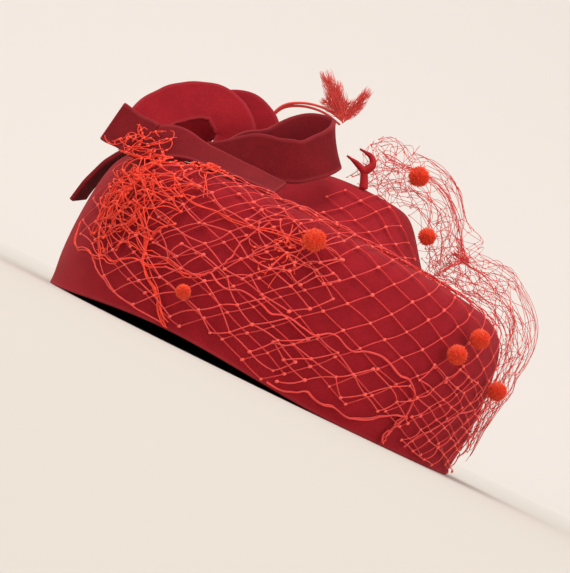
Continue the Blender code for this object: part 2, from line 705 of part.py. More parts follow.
def main():
    for old in list(bpy.data.objects):
        bpy.data.objects.remove(old)
    hat = bpy.data.collections.new("pillbox_hat")
    cutters = bpy.data.collections.new("cutters")
    for group in (hat, cutters):
        bpy.context.scene.collection.children.link(group)
    felt = plain_material("red_felt", (0.36, 0.012, 0.022), 0.92)
    thread = plain_material("veil_thread", (0.62, 0.030, 0.028), 0.55)
    chenille = plain_material("chenille", (0.80, 0.045, 0.020), 0.95)
    feather = plain_material("red_feather", (0.62, 0.035, 0.025), 0.70)

    make_crown(felt, hat)
    make_strip("bow_tail_front", TAIL_FRONT, felt, hat)
    make_strip("bow_loop_right", LOOP_RIGHT, felt, hat)
    make_strip("bow_loop_top", LOOP_TOP, felt, hat)
    make_strip("bow_loop_back", LOOP_BACK, felt, hat)
    make_side_tail(felt, hat)
    front_start = (0.0, VEIL_KNOT_UP)
    puff_start = (PUFF_KNOT_ALONG, PUFF_KNOT_AROUND)
    places = {
        "veil_front": make_net("veil_front", VEIL_PITCH, on_front, front_start, front_surface, None),
        "veil_puff": make_net("veil_puff", PUFF_PITCH, on_puff, puff_start, puff_surface, puff_girth()),
    }
    for name in places:
        bpy.data.objects[name].data.materials.append(thread)
        hat.objects.link(bpy.data.objects[name])
    for row in DOTS:
        make_dot(row, places[row["on"]], chenille, hat)
    make_fan(feather, hat, cutters)
    make_sprig(feather, hat, cutters)


main()
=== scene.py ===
"""The looks of a red felt pillbox hat: blocked felt, a bow of felt strips, a knotted veil that
lies on the front and puffs out over one side, chenille dots and two feather tips. Lengths are in
metres, in the frame of the CAD model: +Z up, the wearer faces -Y and +X is the wearer's left.
"""

import math

import bpy
import numpy as np
from mathutils import Matrix, Vector


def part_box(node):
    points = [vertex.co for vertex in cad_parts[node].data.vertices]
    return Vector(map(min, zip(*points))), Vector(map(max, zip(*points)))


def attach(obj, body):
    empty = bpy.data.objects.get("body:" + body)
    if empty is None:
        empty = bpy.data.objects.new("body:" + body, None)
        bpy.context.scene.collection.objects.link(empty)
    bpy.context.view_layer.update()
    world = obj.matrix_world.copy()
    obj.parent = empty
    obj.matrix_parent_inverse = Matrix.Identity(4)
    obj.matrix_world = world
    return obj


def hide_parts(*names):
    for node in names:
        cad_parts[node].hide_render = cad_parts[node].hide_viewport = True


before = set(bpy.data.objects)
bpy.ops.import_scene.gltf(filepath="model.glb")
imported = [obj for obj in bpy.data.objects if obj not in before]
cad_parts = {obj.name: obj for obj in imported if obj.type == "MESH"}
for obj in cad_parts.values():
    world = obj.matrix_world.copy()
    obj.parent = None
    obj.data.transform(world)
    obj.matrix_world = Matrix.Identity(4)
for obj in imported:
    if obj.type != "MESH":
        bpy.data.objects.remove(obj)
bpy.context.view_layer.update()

# Crown
CROWN_WIDTH = 0.178
CROWN_LENGTH = 0.190
HALF_WIDTH = CROWN_WIDTH / 2
HALF_LENGTH = CROWN_LENGTH / 2
SHOULDER_HEIGHT = 0.064
FELT = 0.002
HEM_LIFT = 0.004
HEM_LIFT_TURN = -20.0
HEM_LIFT_SPREAD = 48.0
LOBE_HEIGHT = 0.0215
LOBE_X = 0.003
LOBE_RIGHT = 0.048
LOBE_LEFT = 0.065
LOBE_FRONT = 0.050
LOBE_BACK = 0.062
LOBE_FLAT = 0.30
LOBE_FLAT_LEFT = 0.20
NEAR_APEX = 0.995
CROWN_AROUND = 400
CROWN_OUTER_ROWS = 140
CROWN_INNER_ROWS = 70
FELT_ROUNDING = 0.00055
ROUNDING_STEPS = 5

# Crown sections from the hem to the apex: shares of the half sizes, and of the shoulder height.
REACH = np.array([0.986, 0.986, 0.998, 1.0, 0.988, 0.962, 0.912, 0.828, 0.715, 0.6, 0.48, 0.35, 0.19, 0.0])
RISE = np.array([0, 0.065, 0.22, 0.43, 0.66, 0.83, 0.935, 0.982, 1.0, 1.009, 1.016, 1.02, 1.023, 1.024])
WIDEST = 3

# Bow
STRIP_WIDTH = 0.0165
BOW_HEIGHT = 0.0340
STRIP_ROWS = 260
STRIP_WANDER = 0.00022
STRIP_WANDER_PITCH = 0.009
END_CORNER = 0.15
SEATED_ROWS = 27
SEATING_PASSES = 3
SEAT_GAP = 0.0006

# Strips of the bow, with columns x and y in shares of the crown's half width and half length,
# rise over the shoulder in bow heights, lean and tip of the strip's width from upright in
# degrees, and its width as a share of the strip's.
TAIL_FRONT = np.array([
    (-0.970, -0.500, 0.050, 6, -6, 1.00),
    (-0.880, -0.530, 0.020, 14, -5, 1.00),
    (-0.770, -0.560, 0.000, 24, -4, 0.98),
    (-0.650, -0.570, 0.000, 34, -2, 0.86),
    (-0.530, -0.590, 0.010, 46, 0, 0.74),
    (-0.400, -0.620, 0.020, 58, 0, 0.84),
    (-0.290, -0.640, 0.030, 64, 0, 0.96),
    (-0.200, -0.650, 0.040, 66, 0, 1.00),
])
LOOP_RIGHT = np.array([
    (-0.570, -0.500, 0.15, 10, 0, 0.50),
    (-0.475, -0.510, 0.28, 8, -12, 0.66),
    (-0.362, -0.510, 0.41, 4, -15, 0.95),
    (-0.260, -0.510, 0.47, 2, -23, 1.00),
    (-0.165, -0.490, 0.58, 0, -31, 1.00),
    (-0.085, -0.400, 0.86, 0, -36, 1.00),
    (-0.125, -0.290, 0.98, 4, -28, 1.00),
    (-0.225, -0.260, 0.95, 6, -14, 1.00),
    (-0.320, -0.310, 0.64, 6, -4, 1.00),
    (-0.430, -0.390, 0.43, 4, 0, 0.80),
    (-0.545, -0.450, 0.12, 2, 0, 0.50),
])
LOOP_TOP = np.array([
    (-0.845, -0.350, -0.05, 0, -86, 0.90),
    (-0.865, -0.320, 0.20, 2, -80, 1.00),
    (-0.855, -0.285, 0.41, 8, -64, 1.00),
    (-0.803, -0.255, 0.60, 14, -40, 1.00),
    (-0.725, -0.238, 0.75, 17, -16, 1.00),
    (-0.635, -0.238, 0.81, 18, 5, 1.00),
    (-0.556, -0.245, 0.72, 14, 28, 1.00),
    (-0.508, -0.252, 0.58, 8, 48, 1.00),
    (-0.498, -0.262, 0.40, 3, 64, 0.92),
    (-0.510, -0.275, 0.10, 0, 78, 0.80),
])
LOOP_BACK = np.array([
    (-0.690, -0.085, 0.10, 0, -82, 0.85),
    (-0.705, -0.090, 0.42, 2, -62, 1.00),
    (-0.650, -0.105, 0.72, 8, -36, 1.00),
    (-0.567, -0.120, 0.90, 10, -8, 1.00),
    (-0.488, -0.120, 0.89, 10, 18, 1.00),
    (-0.427, -0.130, 0.76, 8, 42, 1.00),
    (-0.410, -0.145, 0.56, 4, 66, 0.92),
    (-0.435, -0.160, 0.32, 0, 80, 0.75),
])
# The side tail, with columns turn in degrees, share of the side section's length and clearance
# in strip widths.
TAIL_SIDE = np.array([
    (-92.0, 0.63, 0.035),
    (-92.0, 0.56, 0.050),
    (-93.0, 0.47, 0.080),
    (-94.0, 0.40, 0.120),
    (-95.0, 0.34, 0.220),
    (-96.0, 0.28, 0.340),
    (-97.0, 0.23, 0.420),
])

# Veil. Past its turn, from the wall to the tip, the net runs back by a share of its length and
# narrows by a share for each metre.
VEIL_CLEARANCE = 0.0012
VEIL_TURN_UP = 0.076
VEIL_TURN_EASE = 0.004
VEIL_OVER = 0.9
VEIL_NARROWING = 0.8
THREAD = 0.00023
THREAD_STEPS = 6
TUBE_POLE = 0.6
KNOT = np.array([0.00078, 0.0006, 0.00046])
KNOT_WAY = (0.0005, 0.0004)
CORD = 0.00029
CORD_WANDER = 0.0002
CORD_LIFT = 0.0008
CORD_LOWEST = 0.0006
NET_REACH = 40
NET_SWELL = 0.022
NET_WARP_ALONG = 0.030
NET_WARP_OVER = 0.026
RISING_ANGLE = 44.0
FALLING_ANGLE = -18.0
PUFF_HEIGHT = 0.026
PUFF_HALF_WIDTH = 0.024
PUFF_GIRTH = math.pi * math.sqrt((PUFF_HALF_WIDTH**2 + PUFF_HEIGHT**2) / 2)
PUFF_Y = 0.006
PUFF_END = 0.93
PUFF_EDGE_WAVER = 0.0016
PUFF_CLEARANCE = 0.0006
PUFF_BASE = 0.0004
PUFF_FOOT = 0.03
PUFF_SHOULDER = 0.72
PUFF_THREAD = 0.00010
PUFF_ALONG = np.array([0.00, 0.20, 0.38, 0.55, 0.70, 0.85, 1.00])
PUFF_LEVEL = np.array([1.00, 1.00, 0.80, 0.78, 0.34, 0.16, 0.14])

# Bunched threads of the puff, as rows of shares along it, around it and of its height.
PUFF_FOLD = np.array([
    (0.06, 0.30, 0.80), (0.16, 0.33, 0.72), (0.26, 0.36, 0.74), (0.36, 0.40, 0.80), (0.46, 0.42, 0.74),
    (0.54, 0.40, 0.60),
])
PUFF_EDGE = np.array([
    (0.46, 0.44, 0.95), (0.56, 0.46, 1.00), (0.64, 0.46, 0.98), (0.72, 0.45, 0.98), (0.82, 0.44, 1.00),
    (0.92, 0.42, 1.00),
])

# Edges of the flat veil, as rows of turn from the front in degrees, and of its lower and upper
# edges in millimetres over the hem along the felt.
EDGES = np.array([
    (-68, 22, 44), (-60, 18, 48), (-50, 14, 58), (-44, 10, 63), (-36, 5.5, 67), (-29, 2.5, 70),
    (-20, 1, 73), (-15, 1, 76), (-12, 1, 97), (-8, 1, 103), (0, 1, 131), (6, 1, 133),
    (10, 1.5, 133), (16, 5.5, 131), (25, 5, 128), (34, 8, 122), (41, 12, 116), (43, 1, 114),
    (60, 1, 92), (70, 1, 80), (80, 1, 66),
])
EDGE_TURN, EDGE_LOW, EDGE_HIGH = EDGES.T

# Cords and bunched threads of the veil, as rows of turn in degrees and millimetres over the hem.
EDGE_CORD = np.array([
    (-25.7, 21.5), (-21.0, 22.0), (-17.0, 24.0), (-15.3, 26.2), (-13.0, 24.5), (-9.8, 24.0),
    (-7.2, 25.6), (-4.6, 26.0), (-1.7, 25.0), (1.0, 24.0), (3.4, 25.2), (6.4, 25.7), (9.0, 25.0),
    (11.8, 24.5), (14.5, 27.4), (17.0, 28.0), (20.0, 26.5), (22.0, 26.0), (24.4, 28.0),
    (27.9, 29.0), (30.8, 28.4), (35.0, 26.0), (38.1, 26.0), (41.2, 22.5), (41.9, 18.0),
    (42.0, 14.0),
])
LOWER_CORD = np.array([
    (7.0, 1.0), (10.5, 1.4), (13.6, 3.6), (15.6, 6.0), (18.2, 5.0), (21.2, 4.6), (23.4, 5.6),
    (26.3, 4.2), (29.2, 4.8), (32.7, 7.0), (35.6, 10.2), (39.0, 13.0), (42.0, 14.0),
])
WRAP_CORD = np.array([(42.0, 14.0), (40.4, 9.4), (39.3, 4.8), (39.6, 1.0)])
SIDE_CORD = np.array([(46.0, 3.4), (49.0, 9.0), (53.0, 15.0), (57.0, 19.5), (61.0, 24.0), (68.0, 28.0)])
BRANCH_CORD = np.array([
    (-15.3, 26.2), (-13.6, 31.0), (-12.4, 36.0), (-12.0, 42.0), (-10.0, 49.0), (-8.5, 53.0),
])
LEFT_CORD = np.array([
    (-64.0, 26.0), (-61.0, 19.0), (-57.0, 16.0), (-52.5, 17.0), (-48.5, 15.5), (-44.5, 17.0),
    (-41.0, 16.0), (-38.0, 18.5), (-34.0, 20.0), (-30.0, 19.4), (-25.7, 21.5),
])
SLANT_CORD = np.array([(-50.0, 16.0), (-44.0, 10.5), (-36.5, 5.5), (-29.0, 2.6), (-21.0, 1.4)])
BUNCH_CORD = np.array([
    (-42.5, 39.0), (-37.0, 32.5), (-33.4, 25.0), (-31.5, 19.0), (-27.4, 13.5), (-24.4, 9.5),
    (-22.2, 4.8), (-20.0, 1.5),
])
TOP_CORD = np.array([
    (-44.0, 51.0), (-38.0, 53.5), (-33.0, 50.0), (-28.0, 47.5), (-22.0, 48.5), (-16.0, 47.5),
    (-10.0, 49.0), (-4.0, 51.0), (2.0, 52.0),
])
BAND_CORD = np.array([
    (-47.0, 57.0), (-51.0, 51.0), (-54.0, 44.0), (-54.5, 37.0), (-52.0, 29.0), (-48.0, 22.0), (-45.0, 17.0),
])
RING_CORD = np.array([
    (-44.0, 52.0), (-40.0, 46.0), (-38.5, 39.0), (-41.0, 32.0), (-45.5, 29.0), (-50.0, 33.0),
    (-50.5, 40.0), (-48.0, 47.0), (-44.0, 50.0),
])
CROSS_CORD = np.array([
    (-42.0, 22.0), (-38.5, 24.0), (-34.0, 23.5), (-30.0, 24.5), (-25.0, 24.0), (-21.0, 22.5), (-17.0, 24.0),
])

# Where the veil is drawn in: a place along and over the crown, how far the net is drawn, how
# high its threads pile up there in shares of their clearance, how widely, and how near the lower
# edge and how high over the hem the drawn net goes.
GATHER = np.array([-0.0680, 0.0470])
GATHER_DRAW = 0.020
GATHER_PILE = 1.9
GATHER_SPREAD = 0.013
GATHER_HEM = 0.001
GATHER_TOP = 0.0605

# Dots: their number, and in shares of a dot's radius its core, the roots of its fibres, and the
# fibres' shortest and longest lengths. Then the fibres' count, thickness and lean.
DOTS = 7
DOT_CORE = 0.80
DOT_ROOT = 0.72
DOT_FIBRE_SHORT = 0.22
DOT_FIBRE_LONG = 0.40
DOT_FIBRES = 620
DOT_FIBRE = 0.00020
DOT_FIBRE_LEAN = 0.22

# Feathers. The stem's columns are x and y in shares of the half sizes, and rise over the shoulder
# in bow heights. The fan's locks, with columns for the root and the tip across and up in fan
# heights from the end of the stem, the spread of their barbs, and their count.
FAN_HEIGHT = 0.019
FAN_CLEARANCE = 0.0012
QUILL_FOOT = 0.00075
QUILL_END = 0.00045
SHAFT_FOOT = 0.0004
SHAFT_END = 0.00012
STEM_STEPS = 40
SHAFT_STEPS = 12
FAN_BARB = 0.00011
FAN_BARB_BEND = 0.0011
FAN_STEM = np.array([
    (-0.420, -0.020, 0.30), (-0.424, -0.030, 0.70), (-0.422, -0.045, 1.00), (-0.390, -0.065, 1.20),
    (-0.310, -0.085, 1.32), (-0.215, -0.100, 1.36), (-0.124, -0.105, 1.32),
])
FAN_LOCKS = np.array([
    (0.05, -0.04, -0.76, 0.78, 0.34, 190),
    (0.02, 0.02, -0.50, 0.66, 0.40, 140),
    (-0.05, 0.05, -0.56, 0.26, 0.26, 90),
    (0.06, 0.00, 0.25, 0.84, 0.22, 150),
    (0.06, 0.02, -0.06, 0.46, 0.40, 110),
])
SPRIG_HEIGHT = 0.0135
SPRIG_X = 0.101
SPRIG_Y = -0.211
SPRIG_ARMS = (
    np.array([(0.00, 0.00), (-0.08, 0.20), (-0.215, 0.44), (-0.50, 0.57), (-0.79, 0.64)]),
    np.array([(-0.215, 0.44), (-0.09, 0.62), (-0.07, 0.78), (-0.22, 0.94), (-0.54, 0.985)]),
)
SPRIG_RADIUS = np.array([0.0018, 0.00165, 0.0014, 0.0011, 0.0003])
SPRIG_STEPS = 30
SPRIG_CLEARANCE = 0.0006
SPRIG_FIBRES = 1500
SPRIG_FIBRE = 0.00015
SPRIG_REACH = 0.0018
SPRIG_REACH_LOST = 0.0014
SPRIG_AHEAD = 0.0008

# Finishes, each with its deep, light and edge tones, the scales of its fibres and mottling, the
# edge tone's share, its roughness, its sheen's weight, roughness and tint, and its bump's
# strength and distance.
FINISHES = {
    # On both felts the edge tone, on the marked cut edges, is partly the cut felt's own lighter colour and
    # partly a painted highlight along the rims.
    "crimson wool felt": (
        ((0.262, 0.0078, 0.0140), (0.322, 0.0100, 0.0178), (0.36, 0.038, 0.047)),
        (2200.0, 110.0, 0.35), 0.95, (0.10, 0.45, (0.9, 0.25, 0.25)), (0.35, 0.0004),
    ),
    # The crown's felt again with painted shade: darker tones stand for the shade that falls on three strips
    # of the bow.
    "crimson wool felt with painted shade": (
        ((0.140, 0.0056, 0.0090), (0.185, 0.0074, 0.0115), (0.29, 0.028, 0.036)),
        (2200.0, 110.0, 0.45), 0.95, (0.10, 0.45, (0.9, 0.25, 0.25)), (0.35, 0.0004),
    ),
    "red veil thread": (
        ((0.60, 0.030, 0.032), (0.78, 0.050, 0.048), (1.0, 0.135, 0.105)),
        (5000.0, 300.0, 0.8), 0.6, (0.3, 0.4, (1.0, 0.5, 0.45)), (0.3, 0.0002),
    ),
    "orange red veil thread": (
        ((0.80, 0.034, 0.018), (0.96, 0.052, 0.026), (1.0, 0.13, 0.07)),
        (5000.0, 300.0, 0.7), 0.6, (0.3, 0.4, (1.0, 0.5, 0.4)), (0.3, 0.0002),
    ),
    "orange red chenille": (
        ((0.78, 0.034, 0.014), (0.92, 0.060, 0.024), (0.95, 0.090, 0.034)),
        (3000.0, 500.0, 0.6), 0.9, (0.5, 0.5, (1.0, 0.5, 0.3)), (0.3, 0.0003),
    ),
    "salmon red feather": (
        ((0.62, 0.034, 0.028), (0.78, 0.065, 0.050), (0.85, 0.14, 0.11)),
        (2500.0, 260.0, 0.5), 0.65, (0.4, 0.4, (1.0, 0.6, 0.55)), (0.3, 0.0002),
    ),
    "crimson feather": (
        ((0.30, 0.008, 0.012), (0.44, 0.014, 0.018), (0.50, 0.03, 0.03)),
        (2500.0, 260.0, 0.5), 0.7, (0.3, 0.4, (1.0, 0.5, 0.5)), (0.3, 0.0002),
    ),
}
CLOTH_GLOSS = 0.15

# Studio: the sweep's width, where it starts, bends and ends, and its tones near and far. Then
# the lights' places, sizes, powers and colours, the surroundings, and the camera.
SWEEP_HALF_WIDTH = 4.0
SWEEP_START = -3.0
SWEEP_BEND_Y = 1.2
SWEEP_BEND_RADIUS = 1.0
SWEEP_TOP = 4.0
NEAR_TONE = (0.54, 0.50, 0.46, 1.0)
FAR_TONE = (0.80, 0.75, 0.716, 1.0)
NEAR_Y, FAR_Y = 0.1, 1.2
LIGHTS = (
    ("key_softbox", (-0.50, -0.50, 1.65), 1.1, 21.0, (1.0, 0.97, 0.93)),
    ("fill_softbox", (1.3, -1.1, 0.7), 1.6, 9.0, (1.0, 0.96, 0.94)),
)
LIT_PLACE = (0.0, 0.0, 0.05)
SURROUND = (0.95, 0.93, 0.90, 1.0)
SURROUND_STRENGTH = 0.98
CAMERA_PLACE = (0.0334, -0.735, 0.010)
CAMERA_TARGET = (-0.0028, 0.0, 0.0397)
CAMERA_UP = (-0.438, 0.0, 0.899)
CAMERA_LENS = 115.0
CAMERA_SENSOR = 36.0

# The way to the wearer's back. The feathers lie across it.
BACK = np.array([0.0, 1.0, 0.0])


def between(column, share):
    """A column, or each column of a table, read smoothly at shares of the way down its rows:
    the Catmull-Rom curve through the rows."""
    last = len(column) - 1
    place = np.clip(share, 0.0, 1.0) * last
    first = np.minimum(place.astype(int), last - 1)
    t = place - first
    if column.ndim == 2:
        t = t[..., None]
    a, b, c, d = (column[np.clip(first + k, 0, last)] for k in (-1, 0, 1, 2))
    bend = (2 * a - 5 * b + 4 * c - d) * t**2 + (3 * b - a - 3 * c + d) * t**3
    return b + 0.5 * ((c - a) * t + bend)


def smooth_step(share):
    """0 below 0, 1 above 1, and an even ease between them."""
    share = np.clip(share, 0.0, 1.0)
    return share * share * (3.0 - 2.0 * share)


def unit(vectors):
    """Vectors divided by their lengths."""
    return vectors / np.maximum(np.linalg.norm(vectors, axis=-1, keepdims=True), 1e-12)


def waves(u, v, pitch, seed, count=7):
    """Even, rounded unevenness from about -1 to 1: a sum of sine waves in chance directions,
    whose lengths lie around the pitch."""
    chance = np.random.default_rng(seed)
    total = 0.0
    for _ in range(count):
        way, phase = chance.uniform(0, math.tau, 2)
        length = pitch * chance.uniform(0.6, 1.6)
        total = total + np.sin(math.tau * (u * math.cos(way) + v * math.sin(way)) / length + phase)
    return total / math.sqrt(count)


def lobe_share(x, y):
    """How much of the lobe's height the crown's tip has over points of the plan: an even ease
    from the rim of four joined quarter ellipses inwards to a flat top, which is wider, and so
    the ease steeper, on the wearer's left."""
    across = (x - LOBE_X) / np.where(x > LOBE_X, LOBE_RIGHT, LOBE_LEFT)
    along = y / np.where(y > 0, LOBE_BACK, LOBE_FRONT)
    away = np.hypot(across, along)
    leftwards = np.where(away < 1e-9, 1.0, across / np.maximum(away, 1e-9))
    flat = LOBE_FLAT + LOBE_FLAT_LEFT * leftwards
    return smooth_step((1.0 - away) / (1.0 - flat))


def crown_point(turn, share):
    """The crown's outer face: an ellipse at each share of the section table, from the hem at 0
    to the apex at 1, raised by the lobe on the tip and by the hem's lift at the front."""
    turn, share = np.broadcast_arrays(turn, share)
    reach, rise = between(REACH, share), between(RISE, share)
    x = HALF_WIDTH * reach * np.sin(turn)
    y = -HALF_LENGTH * reach * np.cos(turn)
    away = (np.degrees(turn) - HEM_LIFT_TURN + 180.0) % 360.0 - 180.0
    lift = HEM_LIFT * smooth_step(1.0 - np.abs(away) / HEM_LIFT_SPREAD) * np.maximum(0.0, 1.0 - rise)
    return np.stack([x, y, SHOULDER_HEIGHT * rise + LOBE_HEIGHT * lobe_share(x, y) + lift], -1)


SHARE_STEPS = np.linspace(0.0, 1.0, 161)
SIDE_SECTION = crown_point(math.pi / 2, SHARE_STEPS)
SIDE_LENGTHS = np.concatenate([[0.0], np.cumsum(np.linalg.norm(np.diff(SIDE_SECTION, axis=0), axis=1))])
SECTION_LENGTH = SIDE_LENGTHS[-1]


def crown_normal(turn, share):
    """The outward normal of the crown: the cross product of its slopes around and up."""
    small = 0.004
    around = crown_point(turn + small, share) - crown_point(turn - small, share)
    up = crown_point(turn, np.minimum(share + small, 1.0)) - crown_point(turn, np.maximum(share - small, 0.0))
    return unit(np.cross(around, up))


def turn_of(across):
    """The turn from the front in degrees at a length along the crown: it over the half width."""
    return np.degrees(across / HALF_WIDTH)


def off_crown(turn, up, clearance):
    """Points at a clearance out from the crown, up being a length over the hem along the side
    section, with the normals there."""
    turn, up, clearance = np.broadcast_arrays(turn, up, clearance)
    share = np.interp(up, SIDE_LENGTHS, SHARE_STEPS)
    normal = crown_normal(turn, np.minimum(share, NEAR_APEX))
    return crown_point(turn, share) + normal * clearance[..., None], normal


def crown_height(x, y):
    """The height of the crown's outer face over points of the plan."""
    reach = np.minimum(1.0, np.hypot(x / HALF_WIDTH, y / HALF_LENGTH))
    shares = np.linspace(WIDEST / (len(REACH) - 1), 1.0, 400)
    share = np.interp(-reach, -between(REACH, shares), shares)
    return SHOULDER_HEIGHT * between(RISE, share) + LOBE_HEIGHT * lobe_share(x, y)


def closed_rings(rings, starts, ends):
    """Points and faces of closed tubes: for each of S tubes, R rings of C points that turn
    right-handed about the way from ring to ring, joined by quads, with a fan of triangles from
    the last ring to a pole at either end."""
    s, r, c = rings.shape[:3]
    each = r * c + 2
    points = np.concatenate([rings.reshape(s, r * c, 3), starts[:, None], ends[:, None]], 1)
    first = np.arange(s)[:, None] * each
    col = np.arange(c)
    after = (col + 1) % c
    row = np.arange(r - 1)[:, None] * c
    quad = np.stack([row + col, row + after, row + c + after, row + c + col], -1).reshape(-1, 4)
    start = np.stack([np.full(c, r * c), after, col], -1)
    end = np.stack([np.full(c, r * c + 1), (r - 1) * c + col, (r - 1) * c + after], -1)
    quads = (first[..., None] + quad[None]).reshape(-1, 4)
    triangles = (first[..., None] + np.concatenate([start, end])[None]).reshape(-1, 3)
    return points.reshape(-1, 3), quads, triangles


def joined(parts):
    """Several sets of points, quads, triangles and marks, as one."""
    points, quads, triangles, marks, count = [], [], [], [], 0
    for part_points, part_quads, part_triangles, mark in parts:
        points.append(part_points)
        quads.append(part_quads + count)
        triangles.append(part_triangles + count)
        marks.append(np.broadcast_to(mark, len(part_points)))
        count += len(part_points)
    return np.concatenate(points), np.concatenate(quads), np.concatenate(triangles), np.concatenate(marks)


def add_piece(name, shape, material, nodes):
    """A smooth piece of the hat from points, quads, triangles and a mark for each point, which
    stands for CAD nodes."""
    points, quads, triangles, marks = shape
    mesh = bpy.data.meshes.new(name)
    mesh.vertices.add(len(points))
    mesh.vertices.foreach_set("co", points.astype(np.float32).ravel())
    corners = np.concatenate([quads.ravel(), triangles.ravel()]).astype(np.int32)
    mesh.loops.add(len(corners))
    mesh.loops.foreach_set("vertex_index", corners)
    starts = np.concatenate([np.arange(len(quads)) * 4, 4 * len(quads) + np.arange(len(triangles)) * 3])
    mesh.polygons.add(len(starts))
    mesh.polygons.foreach_set("loop_start", starts.astype(np.int32))
    mesh.update(calc_edges=True)
    mesh.validate()
    mesh.shade_smooth()
    mark = mesh.attributes.new("mark", "FLOAT", "POINT")
    mark.data.foreach_set("value", marks.astype(np.float32))
    mesh.materials.append(material)
    piece = bpy.data.objects.new(name, mesh)
    bpy.context.scene.collection.objects.link(piece)
    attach(piece, "root")
    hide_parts(*nodes)
    return piece


def tubes(paths, radius, sides, guide):
    """Round threads along S paths of P points: a ring of points about each path point, in the
    plane of the guide and the cross product of the path's way and the guide, closed by poles."""
    way = unit(np.gradient(paths, axis=1))
    side = unit(np.cross(way, np.broadcast_to(guide, paths.shape)))
    up = np.cross(side, way)
    radius = np.broadcast_to(radius, paths.shape[:2])[..., None, None]
    angle = np.linspace(0.0, math.tau, sides, endpoint=False)[:, None]
    rings = paths[:, :, None] + radius * (np.cos(angle) * up[:, :, None] - np.sin(angle) * side[:, :, None])
    start = paths[:, 0] - way[:, 0] * radius[:, 0, 0] * TUBE_POLE
    end = paths[:, -1] + way[:, -1] * radius[:, -1, 0] * TUBE_POLE
    return closed_rings(rings[:, :, ::-1], start, end)


def blobs(centres, along, normal, radii, sides, rows):
    """Small ellipsoids: latitude rings about the along axis, with half sizes along, across and
    through given by the radii."""
    along, normal = unit(along), unit(normal)
    across = unit(np.cross(normal, along))
    normal = np.cross(along, across)
    radii = np.broadcast_to(radii, (len(centres), 3))
    latitude = np.linspace(-math.pi / 2, math.pi / 2, rows + 2)[1:-1]
    angle = np.linspace(0.0, math.tau, sides, endpoint=False)
    lengthways = np.sin(latitude)[None, :, None, None] * (along * radii[:, :1])[:, None, None]
    ring = np.cos(angle)[None, None, :, None] * (across * radii[:, 1:2])[:, None, None]
    ring = ring + np.sin(angle)[None, None, :, None] * (normal * radii[:, 2:])[:, None, None]
    rings = centres[:, None, None] + lengthways + np.cos(latitude)[None, :, None, None] * ring
    return closed_rings(rings, centres - along * radii[:, :1], centres + along * radii[:, :1])


# Felt


def crown_shape():
    """The blocked crown as one closed shell: rows down the outer face from the apex, a rounded
    cut edge round the hem, and rows up the inner face, a felt's thickness inside the outer."""
    turn = np.linspace(0.0, math.tau, CROWN_AROUND, endpoint=False)[None, :]
    high = NEAR_APEX * SECTION_LENGTH
    outer_up = np.linspace(high, FELT_ROUNDING, CROWN_OUTER_ROWS)[:, None]
    inner_up = np.linspace(FELT_ROUNDING, high, CROWN_INNER_ROWS)[:, None]
    outer, _ = off_crown(turn, outer_up, 0.0)
    inner, _ = off_crown(turn, inner_up, -FELT)
    hem, normal = off_crown(turn, np.full((1, 1), 0.0), 0.0)
    down = np.array([0.0, 0.0, -1.0])
    bend = np.linspace(0.0, math.pi / 2, ROUNDING_STEPS)[1:, None, None]
    into, rise = FELT_ROUNDING * (1 - np.cos(bend)), FELT_ROUNDING * (1 - np.sin(bend))
    near = hem - normal * into - down * rise
    far = hem - normal * (FELT - rise) - down * into
    rings = np.concatenate([outer, near, far, inner])
    apex, _ = off_crown(np.zeros(1), np.full(1, SECTION_LENGTH), 0.0)
    points, quads, triangles = closed_rings(rings[None], apex, apex - np.array([[0.0, 0.0, FELT]]))
    # The cut edge is marked for the felt's edge tone: partly the cut felt's lighter colour, partly a painted
    # highlight.
    mark = np.zeros((len(rings), CROWN_AROUND))
    mark[len(outer) - 1 : len(outer) + len(near) + len(far) + 1] = 1.0
    return points, quads, triangles, np.concatenate([mark.ravel(), [0.0, 0.0]])


def strip_section():
    """The rounded section of a felt strip: for each point, its share across the flat, its face,
    and its corner's way across and through."""
    flat = np.array([-1.0, -0.96, -0.85, -0.6, -0.3, 0.0, 0.3, 0.6, 0.85, 0.96, 1.0])
    quarter = np.linspace(0.0, math.pi / 2, ROUNDING_STEPS)[1:-1]
    none, one = np.zeros(len(flat)), np.ones(len(flat))
    corner = np.ones(len(quarter))
    share = np.concatenate([flat, corner, corner, flat[::-1], -corner, -corner])
    face = np.concatenate([-one, -corner, corner, one, corner, -corner])
    sine, cosine, edge = np.sin(quarter), np.cos(quarter), np.abs(flat) > 0.95
    across = np.concatenate([none, sine, cosine, none, -sine, -cosine])
    through = np.concatenate([-one, -cosine, sine, one, cosine, -sine])
    mark = np.concatenate([edge, corner, corner, edge, corner, corner])
    return share, face, across, through, mark.astype(float)


def strip_frames(middle, width_way):
    """The ways forward, across and through a strip at its stations."""
    forward = unit(np.gradient(middle, axis=0))
    across = unit(width_way - forward * np.sum(width_way * forward, -1, keepdims=True))
    return forward, across, np.cross(forward, across)


